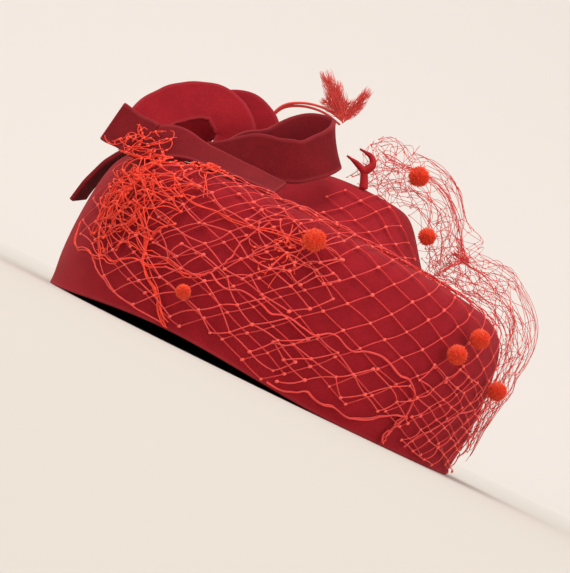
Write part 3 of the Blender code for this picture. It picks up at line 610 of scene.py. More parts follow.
def strip_shape(middle, width_way, width, seed):
    """A cut felt strip: the rounded section carried along its stations, with edges that waver a
    little and ends rounded like the long edges."""
    forward, across, through = strip_frames(middle, width_way)
    share, face, corner_across, corner_through, mark = strip_section()
    run = np.concatenate([[0.0], np.cumsum(np.linalg.norm(np.diff(middle, axis=0), axis=1))])
    wander = STRIP_WANDER * waves(run, 0.0 * run, STRIP_WANDER_PITCH, seed)
    half = width / 2 - FELT_ROUNDING + wander
    bend = np.linspace(0.0, math.pi / 2, ROUNDING_STEPS)[1:]
    first = [0] * len(bend) + list(range(len(middle))) + [len(middle) - 1] * len(bend)
    push = np.concatenate([-np.sin(bend[::-1]), np.zeros(len(middle)), np.sin(bend)]) * FELT_ROUNDING
    shrink = np.concatenate([1 - np.cos(bend[::-1]), np.zeros(len(middle)), 1 - np.cos(bend)]) * FELT_ROUNDING
    middle, forward, across, through, half = (a[first] for a in (middle, forward, across, through, half))
    inset = half - shrink
    level = FELT / 2 - FELT_ROUNDING
    corner = np.maximum(FELT_ROUNDING - shrink, END_CORNER * FELT_ROUNDING)
    sideways = share * inset[:, None] + corner_across * corner[:, None]
    upright = face * level + corner_through * corner[:, None]
    rings = (middle + forward * push[:, None])[:, None] + across[:, None] * sideways[..., None]
    rings = rings + through[:, None] * upright[..., None]
    points, quads, triangles = closed_rings(rings[None], rings[:1, :].mean(1), rings[-1:, :].mean(1))
    # The strip's cut edges and ends are marked for the felt's edge tone: partly its lighter cut colour,
    # partly a painted highlight.
    marks = np.broadcast_to(mark, rings.shape[:2]).copy()
    marks[: len(bend) + 1] = 1.0
    marks[-len(bend) - 1 :] = 1.0
    return points, quads, triangles, np.concatenate([marks.ravel(), [1.0, 1.0]])


def over_tip(row):
    """Places in metres from columns of shares of the half sizes and rises in bow heights."""
    x, y = HALF_WIDTH * row[:, 0], HALF_LENGTH * row[:, 1]
    return np.stack([x, y, SHOULDER_HEIGHT + BOW_HEIGHT * row[:, 2]], -1)


def seated(rows):
    """The stations of a strip of the bow from its table: their middles, the ways of its width and
    its widths. A few stations are raised where their sections would reach into the crown, and the
    rest lie on the smooth curve through those."""
    row = between(rows, np.linspace(0.0, 1.0, SEATED_ROWS))
    middle = over_tip(row)
    lean, tip = np.radians(row[:, 3]), np.radians(row[:, 4])
    width_way = np.stack([np.sin(tip), np.sin(lean) * np.cos(tip), np.cos(lean) * np.cos(tip)], -1)
    width = STRIP_WIDTH * row[:, 5]
    sides = np.linspace(-0.5, 0.5, 9)
    for _ in range(SEATING_PASSES):
        _, across, through = strip_frames(middle, width_way)
        spots = middle[:, None] + across[:, None] * (sides * width[:, None])[..., None]
        spots = spots[:, :, None] + through[:, None, None] * np.array([-0.5, 0.5])[:, None] * FELT
        short = crown_height(spots[..., 0], spots[..., 1]) + SEAT_GAP - spots[..., 2]
        middle[:, 2] += np.maximum(short.max((1, 2)), 0.0)
    table = np.concatenate([middle, width_way, width[:, None]], 1)
    fine = between(table, np.linspace(0.0, 1.0, STRIP_ROWS))
    return fine[:, :3], unit(fine[:, 3:6]), fine[:, 6]


def bow_strip(rows, seed):
    """A strip of the bow from its table, and its length."""
    middle, width_way, width = seated(rows)
    return strip_shape(middle, width_way, width, seed), run_length(middle)


def side_strip(seed):
    """The tail that lies on the crown and runs over its shoulder: a strip along its table of
    turns, lengths and clearances."""
    row = between(TAIL_SIDE, np.linspace(0.0, 1.0, STRIP_ROWS))
    clearance = FELT / 2 + STRIP_WIDTH * row[:, 2]
    middle, normal = off_crown(np.radians(row[:, 0]), SECTION_LENGTH * row[:, 1], clearance)
    width_way = np.cross(normal, np.gradient(middle, axis=0))
    return strip_shape(middle, unit(width_way), np.full(STRIP_ROWS, STRIP_WIDTH), seed), run_length(middle)


def run_length(middle):
    """The length of a line of points."""
    return float(np.linalg.norm(np.diff(middle, axis=0), axis=1).sum())


# Veil


def front_veil(across, up, clearance):
    """The flat part of the veil: lengths along and over the crown, wrapped round its wall. Over
    the shoulder it runs straight back across the tip, a clearance off a height field."""
    across, up, clearance = np.broadcast_arrays(across, up, clearance)
    turn = across / HALF_WIDTH
    wall, wall_normal = off_crown(turn, np.minimum(up, VEIL_TURN_UP), clearance)
    edge, _ = off_crown(turn, VEIL_TURN_UP, 0.0)
    beyond = np.maximum(up - VEIL_TURN_UP, 0.0)
    x, y = edge[..., 0] * (1.0 - VEIL_NARROWING * beyond), edge[..., 1] + VEIL_OVER * beyond
    small = 0.001
    slope_x = (crown_height(x + small, y) - crown_height(x - small, y)) / (2 * small)
    slope_y = (crown_height(x, y + small) - crown_height(x, y - small)) / (2 * small)
    normal = unit(np.stack([-slope_x, -slope_y, np.ones_like(x)], -1))
    top = np.stack([x, y, crown_height(x, y)], -1) + normal * clearance[..., None]
    share = smooth_step((up - VEIL_TURN_UP) / VEIL_TURN_EASE)[..., None]
    return wall * (1 - share) + top * share, unit(wall_normal * (1 - share) + normal * share)


def tail_face(along, above, clearance):
    """The part of the veil that lies on the outer face of the bow's front tail: lengths along the
    strip and above its middle line, and a clearance off its face."""
    middle, width_way, _ = seated(TAIL_FRONT)
    _, across, through = strip_frames(middle, width_way)
    station = np.linspace(0.0, run_length(middle), STRIP_ROWS)

    def at(column):
        """A table of places or ways, read at the lengths along the strip."""
        return np.stack([np.interp(along, station, column[:, k]) for k in range(3)], -1)

    out = unit(at(through))
    return at(middle) + at(across) * above[..., None] + out * (FELT / 2 + clearance)[..., None], out


def puff_veil(along, around, lift):
    """The puffed part of the veil: along runs from the crown's tip down the side, around from
    the front foot over the crest to the back foot, and lift is a share of the crest's height."""
    swing = np.clip(math.pi * around / PUFF_GIRTH, PUFF_FOOT, math.pi - PUFF_FOOT)
    y = PUFF_Y - PUFF_HALF_WIDTH * np.cos(swing)
    up = np.clip(SECTION_LENGTH - along, 0.0, NEAR_APEX * SECTION_LENGTH)
    foot, normal = off_crown(np.full_like(along, math.pi / 2), up, PUFF_CLEARANCE)
    level = np.interp(along / SECTION_LENGTH, PUFF_ALONG, PUFF_LEVEL)
    narrow = np.sqrt(1.0 - np.clip(y / HALF_LENGTH, -1, 1) ** 2)
    point = np.stack([foot[..., 0] * narrow, y, foot[..., 2]], -1)
    point = point + normal * (PUFF_BASE + PUFF_HEIGHT * level * np.sin(swing) * lift)[..., None]
    floor = crown_height(point[..., 0], y) + PUFF_CLEARANCE
    over = along < PUFF_SHOULDER * SECTION_LENGTH
    point[..., 2] = np.where(over, np.maximum(point[..., 2], floor), point[..., 2])
    return point, normal


def net_plan(inside, pitch, start, seed, turn=0.0, slack=0.02, warp=0.0):
    """The plan of a knotted net in two lengths: knots on a slanting grid, moved by waves of the
    warp and by chance, and the numbers of each two that a thread joins."""
    chance = np.random.default_rng(seed)
    rising, falling = np.radians((RISING_ANGLE + turn, FALLING_ANGLE + turn))
    count = np.arange(-NET_REACH, NET_REACH + 1)
    i, j = np.meshgrid(count, count, indexing="ij")
    loose = chance.normal(0, slack * pitch, (2, *i.shape))
    u = start[0] + pitch * (i * math.cos(rising) + j * math.cos(falling)) + loose[0]
    v = start[1] + pitch * (i * math.sin(rising) + j * math.sin(falling)) + loose[1]
    shift_u, shift_v = waves(u, v, NET_WARP_ALONG, seed + 1), waves(u, v, NET_WARP_OVER, seed + 2)
    u, v = u + warp * shift_u, v + warp * shift_v
    kept, number = inside(u, v), np.arange(i.size).reshape(i.shape)
    rows, columns = kept[:-1] & kept[1:], kept[:, :-1] & kept[:, 1:]
    first = np.concatenate([number[:-1][rows], number[:, :-1][columns]])
    second = np.concatenate([number[1:][rows], number[:, 1:][columns]])
    return u.ravel(), v.ravel(), first, second


def net(
    surface, plan, seed, base, lift=0.0, least=0.0, thread=THREAD, slack=0.02, loose=0.0, marks=(0.0, 1.0)
):
    """A net laid on a surface: its threads, each with a belly of its own to the side and
    outwards, and its knots. The rise over the surface is base and lift times slow waves."""
    u, v, first, second = plan
    chance = np.random.default_rng(seed)
    t = np.linspace(0.0, 1.0, THREAD_STEPS)
    belly = np.sin(math.pi * t)
    along_u, along_v = (u[second] - u[first])[:, None], (v[second] - v[first])[:, None]
    side = chance.normal(0, slack, (len(first), 1)) * belly
    line_u = u[first][:, None] + along_u * t - along_v * side
    line_v = v[first][:, None] + along_v * t + along_u * side
    out = loose * np.abs(chance.normal(0, 1.0, (len(first), 1))) * belly

    def rise(a, b):
        """The height of the net over the surface at places, never less than the least."""
        return np.maximum(base + lift * (0.5 + 0.5 * waves(a, b, NET_SWELL, seed + 3)), least)

    lines, normals = surface(line_u, line_v, rise(line_u, line_v) + out)
    used = np.unique(np.concatenate([first, second]))
    middles, knot_normals = surface(u[used], v[used], rise(u[used], v[used]))
    beside, _ = surface(u[used] + KNOT_WAY[0], v[used] + KNOT_WAY[1], rise(u[used], v[used]))
    size = chance.uniform(0.8, 1.2, (len(used), 1)) * (thread / THREAD) ** 0.7
    knots = blobs(middles, beside - middles, knot_normals, KNOT * size, 6, 3)
    return [(*tubes(lines, thread, 4, normals), marks[0]), (*knots, marks[1])]


def drawn_in(u, v):
    """Lengths about the gather, drawn in: a distance r from it shrinks to r * r / (r + draw)."""
    away = np.stack([u, v], -1) - GATHER
    reach = np.linalg.norm(away, axis=-1)
    share = reach / (reach + GATHER_DRAW)
    return GATHER[0] + away[..., 0] * share, GATHER[1] + away[..., 1] * share, reach * share


def gathered_veil(across, up, clearance):
    """The veil drawn in to its gather, where its threads pile up in a bell's curve."""
    u, v, reach = drawn_in(across, up)
    return front_veil(u, v, clearance * (1.0 + GATHER_PILE * np.exp(-((reach / GATHER_SPREAD) ** 2))))


def by_gather(limit):
    """A test for places that, once drawn in, lie on the veil within a limit of the gather."""

    def inside(u, v):
        """True for drawn-in places nearer than the limit and between the veil's edges."""
        u, v, reach = drawn_in(u, v)
        turn = turn_of(u)
        low = np.interp(turn, EDGE_TURN, EDGE_LOW)
        near = (reach < limit) & (turn > EDGE_TURN[0])
        return near & (v > low / 1000 + GATHER_HEM) & (v < GATHER_TOP)

    return inside


def on_front(u, v):
    """True where the flat part of the veil lies, between its lower and upper edges."""
    turn = turn_of(u)
    low, high = np.interp(turn, EDGE_TURN, EDGE_LOW), np.interp(turn, EDGE_TURN, EDGE_HIGH)
    return (turn > EDGE_TURN[0]) & (turn < EDGE_TURN[-1]) & (v > low / 1000) & (v < high / 1000)


def region(turn_low, turn_high, up_low, up_high):
    """A test for a rounded patch of the crown between turns and lengths over the hem."""

    def inside(u, v):
        """True where the fourth powers of a place's shares of the patch sum to less than one."""
        turn = turn_of(u)
        a = (turn - turn_low) / (turn_high - turn_low) * 2 - 1
        b = (v * 1000 - up_low) / (up_high - up_low) * 2 - 1
        return (a**4 + b**4 < 1.0) & on_front(u, v)

    return inside


def cord(rows, seed, radius, count, spread):
    """Cords of the veil along rows of turn and height over the hem: a smooth curve through the
    rows, laid on the crown, with a slow wander, and beside it as many more as the count says."""
    chance = np.random.default_rng(seed)
    run = np.linspace(0.0, 1.0, 9 * len(rows))[None, :]
    shift = chance.normal(0, 1.0, (count, 2, 1)) * spread
    u = np.radians(between(rows[:, 0], run)) * HALF_WIDTH
    v = between(rows[:, 1], run) / 1000
    u = u + shift[:, 0] * waves(run, shift[:, 1] * 900, 0.6, seed + 1)
    v = v + shift[:, 1] * waves(run, shift[:, 0] * 900, 0.6, seed + 3)
    u = u + CORD_WANDER * waves(run, shift[:, 0], 0.12, seed + 2)
    v = v + CORD_WANDER * waves(run, shift[:, 1], 0.12, seed + 4)
    rise = VEIL_CLEARANCE + CORD_LIFT * (1 + 0.5 * waves(run, shift[:, 0] * 500, 0.3, seed + 5))
    lines, normals = front_veil(u, np.maximum(v, CORD_LOWEST), np.broadcast_to(rise, u.shape))
    return (*tubes(lines, radius, 6, normals), 0.3)


def cords(table, seed, radius):
    """The cords of a table with columns for rows, count and spread, each with a seed of its own."""
    return [cord(rows, seed + 7 * number, radius, *rest) for number, (rows, *rest) in enumerate(table)]


def tangle(surface, middle, reach, count, seed, radius, high, limits=(0.004, 0.062)):
    """Bunched threads about a place on a surface: curls of chance heading, length and bend that
    start near the middle, highest there and falling to the felt with distance."""
    chance = np.random.default_rng(seed)
    t = np.linspace(0.0, 1.0, 18)[None, :]
    size = reach * chance.uniform(0.5, 1.7, (count, 1))
    way = chance.uniform(0, math.tau, (count, 1)) + chance.normal(0, 2.4, (count, 1)) * t
    start = np.array(middle)[:, None, None] + chance.normal(0, 0.45 * reach, (2, count, 1))
    u = start[0] + size * np.cumsum(np.cos(way), 1) / t.size
    v = start[1] + size * np.cumsum(np.sin(way), 1) / t.size
    away = np.hypot(u - middle[0], v - middle[1]) / reach
    rise = VEIL_CLEARANCE + high * np.exp(-away * away) * chance.uniform(0.0, 1.0, (count, 1))
    rise = rise + 0.0005 * np.abs(waves(u, v, 0.012, seed + 1))
    lines, normals = surface(u, np.clip(v, *limits), rise)
    at = chance.integers(3, 14, count)
    row = np.arange(count)
    knots = blobs(lines[row, at], lines[row, at + 1] - lines[row, at], normals[row, at], KNOT * 0.8, 6, 3)
    return [(*tubes(lines, radius, 4, normals), 0.3), (*knots, 0.9)]


def spot(turn, up):
    """A place on the crown as lengths, from a turn in degrees and millimetres over the hem."""
    return math.radians(turn) * HALF_WIDTH, up / 1000


def on_puff(u, v):
    """True where the puffed part of the veil lies, between edges that waver."""
    near = PUFF_EDGE_WAVER * (1 + waves(u, v, 0.030, 51))
    return (u > near) & (u < PUFF_END * SECTION_LENGTH - near) & (v > near) & (v < PUFF_GIRTH - near)


def puff_band(rows, seed, count, spread):
    """Threads bunched along the puff: rows of shares along it, around it and of its height, with
    as many threads as the count, each a slow wave apart from the rows."""
    chance = np.random.default_rng(seed)
    run = np.broadcast_to(np.linspace(0.0, 1.0, 12 * len(rows)), (count, 12 * len(rows)))
    own = chance.uniform(0, 900, (count, 1))
    along = between(rows[:, 0], run) * SECTION_LENGTH + spread * waves(run, own, 0.35, seed + 1)
    around = between(rows[:, 1], run) * PUFF_GIRTH + spread * waves(run, own, 0.35, seed + 2)
    rise = between(rows[:, 2], run) + 0.06 * waves(run, own, 0.3, seed + 3)
    lines, normals = puff_veil(along, around, np.clip(rise, 0.05, 1.05))
    return (*tubes(lines, PUFF_THREAD, 4, normals), 0.2)


# Dots and feathers


def dot_shape(name, seed):
    """A chenille dot: a lumpy ball in the CAD dot's place, and short tapered fibres that stand
    out from it in even, spiral spacing with chance lengths and leans."""
    low, high = (np.array(corner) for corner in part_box(name))
    middle, radius = (low + high) / 2, float((high - low).min()) / 2
    chance = np.random.default_rng(seed)
    core = blobs(middle[None], np.array([[0, 0, 1.0]]), np.array([[1.0, 0, 0]]), radius * DOT_CORE, 22, 12)
    n = np.arange(DOT_FIBRES)
    z = 1 - 2 * (n + 0.5) / DOT_FIBRES
    angle = n * math.pi * (3 - math.sqrt(5))
    out = np.stack([np.sqrt(1 - z * z) * np.cos(angle), np.sqrt(1 - z * z) * np.sin(angle), z], -1)
    lean = unit(out + chance.normal(0, DOT_FIBRE_LEAN, out.shape))
    root = middle + out * radius * DOT_ROOT
    length = radius * chance.uniform(DOT_FIBRE_SHORT, DOT_FIBRE_LONG, (len(out), 1))
    t = np.linspace(0.0, 1.0, 3)[None, :, None]
    paths = root[:, None] + lean[:, None] * length[:, None] * t
    thick = DOT_FIBRE * np.array([1.2, 0.9, 0.5])
    fibres = tubes(paths, thick, 3, np.cross(lean, [0.3, 0.5, 0.8])[:, None])
    return joined([(*core, 0.0), (*fibres, 1.0)])


def barbs(roots, tips, bend, thick, seed):
    """Feather barbs: tapered threads from roots to tips, bellied by a bend in metres and a
    little chance."""
    chance = np.random.default_rng(seed)
    t = np.linspace(0.0, 1.0, 6)[None, :, None]
    paths = roots[:, None] + (tips - roots)[:, None] * t
    paths = paths + bend[:, None] * (4 * t * (1 - t)) + chance.normal(0, 0.00012, paths.shape) * t
    taper = thick * np.array([1.0, 0.95, 0.85, 0.7, 0.5, 0.2])
    return tubes(paths, taper, 4, np.array([0.1, -1.0, 0.15]))


def fan_shape(seed):
    """The feather fan: two quills along the stem, and locks of barbs that leave each lock's shaft
    at a slant, nearer its tip the shorter, with a thin shaft down the middle of each."""
    chance = np.random.default_rng(seed)
    row = between(FAN_STEM, np.linspace(0.0, 1.0, STEM_STEPS))
    stem = over_tip(row)
    stem[0, 2] = crown_height(stem[0, 0], stem[0, 1]) + FAN_CLEARANCE
    beside = stem + np.array([0.0, 0.0009, -0.0011]) * np.linspace(0.2, 1.6, STEM_STEPS)[:, None]
    quill = np.linspace(QUILL_FOOT, QUILL_END, STEM_STEPS)
    parts = [(*tubes(np.stack([stem, beside]), quill, 7, np.array([0.1, -1.0, 0.1])), 0.6)]
    for root_x, root_z, tip_x, tip_z, spread, count in FAN_LOCKS:
        count = int(count)
        root = stem[-1] + FAN_HEIGHT * np.array([root_x, 0.0, root_z])
        tip = stem[-1] + FAN_HEIGHT * np.array([tip_x, 0.0, tip_z])
        way = tip - root
        across = np.array([-way[2], 0.0, way[0]]) / np.linalg.norm(way)
        along = chance.uniform(0.0, 0.82, (count, 1))
        side = np.where(np.arange(count) % 2, 1.0, -1.0)[:, None] * chance.uniform(0.1, 1.0, (count, 1))
        roots = root + way * along + BACK * chance.normal(0, 0.00025, (count, 1))
        reach = way * (0.50 - 0.34 * along) + across * side * spread * FAN_HEIGHT * (0.62 - 0.30 * along)
        depth = BACK * chance.normal(0, 0.0007, (count, 1))
        tips = roots + reach + depth
        parts.append((*barbs(roots, tips, across * side * FAN_BARB_BEND, FAN_BARB, seed + count), 0.3))
        line = root + way * np.linspace(0.0, 1.0, SHAFT_STEPS)[:, None]
        thick = np.linspace(SHAFT_FOOT, SHAFT_END, SHAFT_STEPS)
        parts.append((*tubes(line[None], thick, 6, -BACK), 0.8))
    return joined(parts)


def sprig_shape(seed):
    """The forked sprig: two curled arms, each a thin core set all round with short, forward
    leaning fibres that shorten towards the tip."""
    chance = np.random.default_rng(seed)
    x, y = HALF_WIDTH * SPRIG_X, HALF_LENGTH * SPRIG_Y
    root = crown_height(np.array(x), np.array(y)) + SPRIG_CLEARANCE
    parts = []
    for arm in SPRIG_ARMS:
        run = np.linspace(0.0, 1.0, SPRIG_STEPS)
        flat = between(arm, run) * SPRIG_HEIGHT
        line = np.stack([x + flat[:, 0], np.full(SPRIG_STEPS, y), root + flat[:, 1]], -1)
        thick = between(SPRIG_RADIUS, run)
        parts.append((*tubes(line[None], thick, 12, -BACK), 0.0))
        share = chance.uniform(0.0, 1.0, SPRIG_FIBRES // 2)
        at = np.stack([np.interp(share, run, line[:, k]) for k in range(3)], -1)
        slope = np.gradient(line, axis=0)
        ahead = unit(np.stack([np.interp(share, run, slope[:, k]) for k in range(3)], -1))
        angle = chance.uniform(0, math.tau, (len(share), 1))
        out = unit(np.cross(ahead, BACK)) * np.cos(angle) + BACK * np.sin(angle)
        reach = out * (SPRIG_REACH - SPRIG_REACH_LOST * share[:, None]) + ahead * SPRIG_AHEAD
        reach = reach * chance.uniform(0.8, 1.0, (len(share), 1))
        tips = at + reach
        tips[:, 2] = np.maximum(tips[:, 2], root - 0.0002)
        parts.append((*barbs(at, tips, ahead * 0.0002, SPRIG_FIBRE, seed + len(parts)), 0.1))
    return joined(parts)


# Materials


def new_group(name, inputs, outputs):
    """An empty shader node group with named inputs, each a type and a value, and outputs."""
    group = bpy.data.node_groups.new(name, "ShaderNodeTree")
    for label, kind, value in inputs:
        socket = group.interface.new_socket(label, in_out="INPUT", socket_type=kind)
        socket.default_value = value
    for label, kind in outputs:
        group.interface.new_socket(label, in_out="OUTPUT", socket_type=kind)
    return group, group.nodes.new("NodeGroupInput"), group.nodes.new("NodeGroupOutput")


def noise(tree, place, scale, detail, roughness=0.6):
    """A noise texture on a place, whose scale is a socket."""
    node = tree.nodes.new("ShaderNodeTexNoise")
    node.inputs["Detail"].default_value = detail
    node.inputs["Roughness"].default_value = roughness
    tree.links.new(place, node.inputs["Vector"])
    tree.links.new(scale, node.inputs["Scale"])
    return node.outputs["Fac"]


def mix_colours(tree, kind, share, first, second):
    """A colour mix of sockets or values, by a share."""
    node = tree.nodes.new("ShaderNodeMix")
    node.data_type = "RGBA"
    node.blend_type = kind
    for socket, value in ((node.inputs[0], share), (node.inputs[6], first), (node.inputs[7], second)):
        if isinstance(value, bpy.types.NodeSocket):
            tree.links.new(value, socket)
        else:
            socket.default_value = value
    return node.outputs[2]


def ramp(tree, value, low, high):
    """A value mapped from low..high to 0..1 and held there."""
    node = tree.nodes.new("ShaderNodeMapRange")
    tree.links.new(value, node.inputs["Value"])
    node.inputs["From Min"].default_value = low
    node.inputs["From Max"].default_value = high
    return node.outputs["Result"]


def fibre_group():
    """Matted fibres: fine noise over broad mottling, as a height and a colour between a deep and
    a light tone, with a third tone on marked edges."""
    colour = "NodeSocketColor"
    group, given, put = new_group(
        "matted fibres",
        [
            ("Deep", colour, (0.2, 0.0, 0.0, 1.0)),
            ("Light", colour, (0.4, 0.0, 0.0, 1.0)),
            ("Edge", colour, (0.5, 0.1, 0.1, 1.0)),
            ("Fibre Scale", "NodeSocketFloat", 1800.0),
            ("Mottle Scale", "NodeSocketFloat", 90.0),
            ("Edge Share", "NodeSocketFloat", 0.5),
        ],
        [("Colour", colour), ("Height", "NodeSocketFloat")],
    )
    place = group.nodes.new("ShaderNodeTexCoord").outputs["Object"]
    fine = noise(group, place, given.outputs["Fibre Scale"], 3.0, 0.7)
    broad = noise(group, place, given.outputs["Mottle Scale"], 4.0)
    patch, grain = ramp(group, broad, 0.3, 0.7), ramp(group, fine, 0.35, 0.65)
    tone = mix_colours(group, "MIX", patch, given.outputs["Deep"], given.outputs["Light"])
    speck = mix_colours(group, "MIX", grain, (0.80, 0.80, 0.80, 1.0), (1.16, 1.16, 1.16, 1.0))
    tone = mix_colours(group, "MULTIPLY", 1.0, tone, speck)
    mark = group.nodes.new("ShaderNodeAttribute")
    mark.attribute_name = "mark"
    share = group.nodes.new("ShaderNodeMath")
    share.operation = "MULTIPLY"
    group.links.new(mark.outputs["Fac"], share.inputs[0])
    group.links.new(given.outputs["Edge Share"], share.inputs[1])
    tone = mix_colours(group, "MIX", share.outputs[0], tone, given.outputs["Edge"])
    group.links.new(tone, put.inputs["Colour"])
    group.links.new(fine, put.inputs["Height"])
    return group


def fibre_material(name, group):
    """A finish of matted or spun fibres: the group's colour and height, with a soft sheen on the
    shader."""
    tones, values, roughness, sheen, bump = FINISHES[name]
    material = bpy.data.materials.new(name)
    material.use_nodes = True
    tree = material.node_tree
    shader = tree.nodes["Principled BSDF"]
    fibres = tree.nodes.new("ShaderNodeGroup")
    fibres.node_tree = group
    for label, tone in zip(("Deep", "Light", "Edge"), tones):
        fibres.inputs[label].default_value = (*tone, 1.0)
    for label, value in zip(("Fibre Scale", "Mottle Scale", "Edge Share"), values):
        fibres.inputs[label].default_value = value
    raised = tree.nodes.new("ShaderNodeBump")
    raised.inputs["Strength"].default_value = bump[0]
    raised.inputs["Distance"].default_value = bump[1]
    tree.links.new(fibres.outputs["Colour"], shader.inputs["Base Color"])
    tree.links.new(fibres.outputs["Height"], raised.inputs["Height"])
    tree.links.new(raised.outputs["Normal"], shader.inputs["Normal"])
    shader.inputs["Roughness"].default_value = roughness
    shader.inputs["Specular IOR Level"].default_value = CLOTH_GLOSS
    shader.inputs["Sheen Weight"].default_value = sheen[0]
    shader.inputs["Sheen Roughness"].default_value = sheen[1]
    shader.inputs["Sheen Tint"].default_value = (*sheen[2], 1.0)
    return material


# Stage


def add_stage():
    """A pale floor that sweeps up into a wall behind, a profile carried straight across."""
    bend = np.linspace(0.0, math.pi / 2, 24)
    wall = SWEEP_BEND_Y + SWEEP_BEND_RADIUS
    y = np.concatenate([[SWEEP_START], SWEEP_BEND_Y + SWEEP_BEND_RADIUS * np.sin(bend), [wall]])
    z = np.concatenate([[0.0], SWEEP_BEND_RADIUS * (1.0 - np.cos(bend)), [SWEEP_TOP]])
    x = np.array([-SWEEP_HALF_WIDTH, SWEEP_HALF_WIDTH])
    points = np.stack([np.repeat(x, len(y)), np.tile(y, 2), np.tile(z, 2)], -1)
    k = np.arange(len(y) - 1)
    faces = np.stack([k, k + len(y), k + len(y) + 1, k + 1], -1)
    mesh = bpy.data.meshes.new("studio_sweep")
    mesh.from_pydata(points.tolist(), [], faces.tolist())
    mesh.shade_smooth()
    pale = bpy.data.materials.new("pale paper")
    pale.use_nodes = True
    tree = pale.node_tree
    shader = tree.nodes["Principled BSDF"]
    place = tree.nodes.new("ShaderNodeSeparateXYZ")
    here = tree.nodes.new("ShaderNodeTexCoord").outputs["Object"]
    tree.links.new(here, place.inputs[0])
    back = ramp(tree, place.outputs["Y"], NEAR_Y, FAR_Y)
    tone = mix_colours(tree, "MIX", back, NEAR_TONE, FAR_TONE)
    tree.links.new(tone, shader.inputs["Base Color"])
    shader.inputs["Roughness"].default_value = 0.95
    shader.inputs["Specular IOR Level"].default_value = 0.1
    mesh.materials.append(pale)
    floor = bpy.data.objects.new("studio_sweep", mesh)
    bpy.context.scene.collection.objects.link(floor)


def aimed(thing, place, target, up):
    """Puts a light or the camera at a place, looking at a target."""
    back = (Vector(place) - Vector(target)).normalized()
    right = Vector(up).cross(back).normalized()
    turn = Matrix((right, back.cross(right), back)).transposed().to_4x4()
    thing.matrix_world = Matrix.Translation(place) @ turn
    bpy.context.scene.collection.objects.link(thing)


def add_light(name, place, size, power, colour):
    """A large soft square light, aimed at the hat."""
    light = bpy.data.lights.new(name, "AREA")
    light.size = size
    light.energy = power
    light.color = colour
    aimed(bpy.data.objects.new(name, light), place, LIT_PLACE, (0.0, 0.0, 1.0))


def add_surroundings():
    """Pale, even light from all round, and plain tones with no film look."""
    scene = bpy.context.scene
    scene.view_settings.view_transform = "Standard"
    scene.world = scene.world or bpy.data.worlds.new("studio")
    scene.world.use_nodes = True
    pale = scene.world.node_tree.nodes["Background"]
    pale.inputs["Color"].default_value = SURROUND
    pale.inputs["Strength"].default_value = SURROUND_STRENGTH


def add_camera():
    """The camera at the photograph's angle to the hat: from in front, a little to the wearer's
    left and low over the floor, rolled so that the wearer's left side hangs lower."""
    camera = bpy.data.cameras.new("photo_camera")
    camera.lens = CAMERA_LENS
    camera.sensor_width = CAMERA_SENSOR
    camera.clip_start, camera.clip_end = 0.02, 20.0
    thing = bpy.data.objects.new("photo_camera", camera)
    aimed(thing, CAMERA_PLACE, CAMERA_TARGET, CAMERA_UP)
    bpy.context.scene.camera = thing


# The hat

matted = fibre_group()
felt = fibre_material("crimson wool felt", matted)
# The same felt with painted shade, for the bow's shaded strips.
painted_shade_felt = fibre_material("crimson wool felt with painted shade", matted)
thread = fibre_material("red veil thread", matted)
bright_thread = fibre_material("orange red veil thread", matted)
chenille = fibre_material("orange red chenille", matted)
feather = fibre_material("salmon red feather", matted)
crimson_feather = fibre_material("crimson feather", matted)

# Crown and bow

add_piece("crown_felt", crown_shape(), felt, ["crown"])
# The front tail, right loop and side tail take the felt with painted shade: darker tones for the shade on
# their faces.
for node, rows, tone, held, seed in (
    ("bow_tail_front", TAIL_FRONT, painted_shade_felt, "laid", 11),
    ("bow_loop_right", LOOP_RIGHT, painted_shade_felt, "folded", 12),
    ("bow_loop_top", LOOP_TOP, felt, "folded", 13),
    ("bow_loop_back", LOOP_BACK, felt, "folded", 14),
    ("bow_tail_side", None, painted_shade_felt, "laid", 15),
):
    shape, length = side_strip(seed) if rows is None else bow_strip(rows, seed)
    strip = add_piece(node + "_felt", shape, tone, [node])

# The flat veil: one clean net, and doubled patches with columns for the seed, the patch, the
# pitch, a knot's place, the turn of the net, its threads' slack and its warp

plan = net_plan(on_front, 0.0096, (0.0018, 0.0300), 21, warp=0.0005)
front = net(front_veil, plan, 21, VEIL_CLEARANCE, loose=0.0004)
for seed, place, pitch, start, turn, slack, warp in (
    (22, region(-60, 12, 2, 34), 0.0094, (0.006, 0.034), -6, 0.03, 0.0016),
    (23, region(-40, 14, 26, 74), 0.0098, (0.004, 0.036), 7, 0.03, 0.0016),
    (24, region(-14, 12, 36, 62), 0.0066, (0.002, 0.032), 5, 0.08, 0.0018),
    (25, region(40, 86, -6, 40), 0.0078, (0.004, 0.034), 6, 0.03, 0.0008),
    (26, region(4, 44, 0, 26), 0.0090, (0.004, 0.034), -8, 0.03, 0.0014),
):
    plan = net_plan(place, pitch, start, seed, turn, slack, warp)
    layer = {"slack": slack, "loose": 0.0006, "marks": (0.35, 0.9)}
    front += net(front_veil, plan, seed, 0.0018, 0.0008, VEIL_CLEARANCE, **layer)
edging = (
    (EDGE_CORD, 2, 0.0003),
    (LOWER_CORD, 2, 0.0008),
    (WRAP_CORD, 3, 0.0010),
    (SIDE_CORD, 1, 0.0),
    (BRANCH_CORD, 1, 0.0),
    (SLANT_CORD, 1, 0.0),
)
front += cords(edging, 60, CORD)
add_piece("veil_front_net", joined(front), thread, ["veil_front"])

# The gather: two nets drawn in, bunched cords, and tangles of loose threads

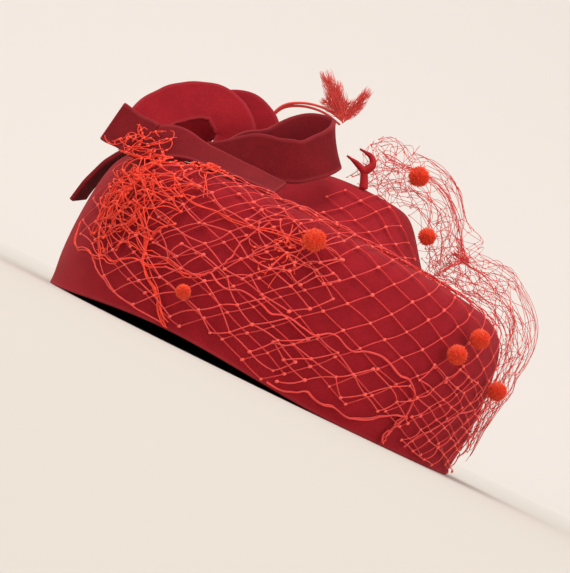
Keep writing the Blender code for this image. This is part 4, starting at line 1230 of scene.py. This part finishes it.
gather = []
for seed, limit, pitch, turn, base in (
    (31, 0.030, 0.0102, 20, 0.0014),
    (32, 0.026, 0.0096, -14, 0.0019),
):
    plan = net_plan(by_gather(limit), pitch, GATHER + 0.002, seed, turn, 0.10, 0.0034)
    gather += net(gathered_veil, plan, seed, base, 0.0010, VEIL_CLEARANCE, 0.00024, 0.10, 0.0006, (0.3, 0.9))
bunched = (
    (LEFT_CORD, 3, 0.0010),
    (BUNCH_CORD, 5, 0.0015),
    (TOP_CORD, 2, 0.0012),
    (BAND_CORD, 4, 0.0016),
    (RING_CORD, 4, 0.0012),
    (CROSS_CORD, 2, 0.0008),
)
gather += cords(bunched, 160, 0.75 * CORD)
gather += tangle(front_veil, spot(-46, 46), 0.010, 26, 141, 0.00026, 0.0040)
gather += tangle(front_veil, spot(-50, 30), 0.009, 12, 142, 0.00019, 0.0018)
gather += tangle(front_veil, spot(-33, 65), 0.008, 34, 143, 0.00020, 0.0026, (0.004, 0.071))
gather += tangle(front_veil, spot(-2, 48), 0.008, 18, 144, 0.00019, 0.0016)
gather += tangle(tail_face, (0.018, -0.006), 0.009, 40, 145, 0.00018, 0.0020, (-0.009, 0.003))
add_piece("veil_front_gather", joined(gather), bright_thread, ["veil_front"])

# The puff: four nets, the lower the nearer to the crown, and bunched threads

puff = []
for seed, height, pitch, turn in (
    (41, 1.0, 0.0086, 72),
    (42, 0.88, 0.0090, 92),
    (43, 0.66, 0.0092, 60),
    (44, 0.42, 0.0096, 84),
):
    plan = net_plan(on_puff, pitch, (0.004, 0.030), seed, turn, 0.12, 0.0032)
    puff += net(puff_veil, plan, seed, height - 0.24, 0.30, thread=PUFF_THREAD, slack=0.12, loose=0.02)
puff.append(puff_band(PUFF_FOLD, 45, 10, 0.0028))
puff.append(puff_band(PUFF_EDGE, 46, 4, 0.0022))
add_piece("veil_puff_net", joined(puff), thread, ["veil_puff"])

# Dots and feathers of the hat

for number in range(DOTS):
    node = f"dot_{number + 1}"
    add_piece(node + "_chenille", dot_shape(node, 50 + number), chenille, [node])
add_piece("feather_fan_barbs", fan_shape(70), feather, ["feather_fan"])
add_piece("feather_sprig_barbs", sprig_shape(80), crimson_feather, ["feather_sprig"])

# The studio

add_stage()
for light in LIGHTS:
    add_light(*light)
add_surroundings()
add_camera()
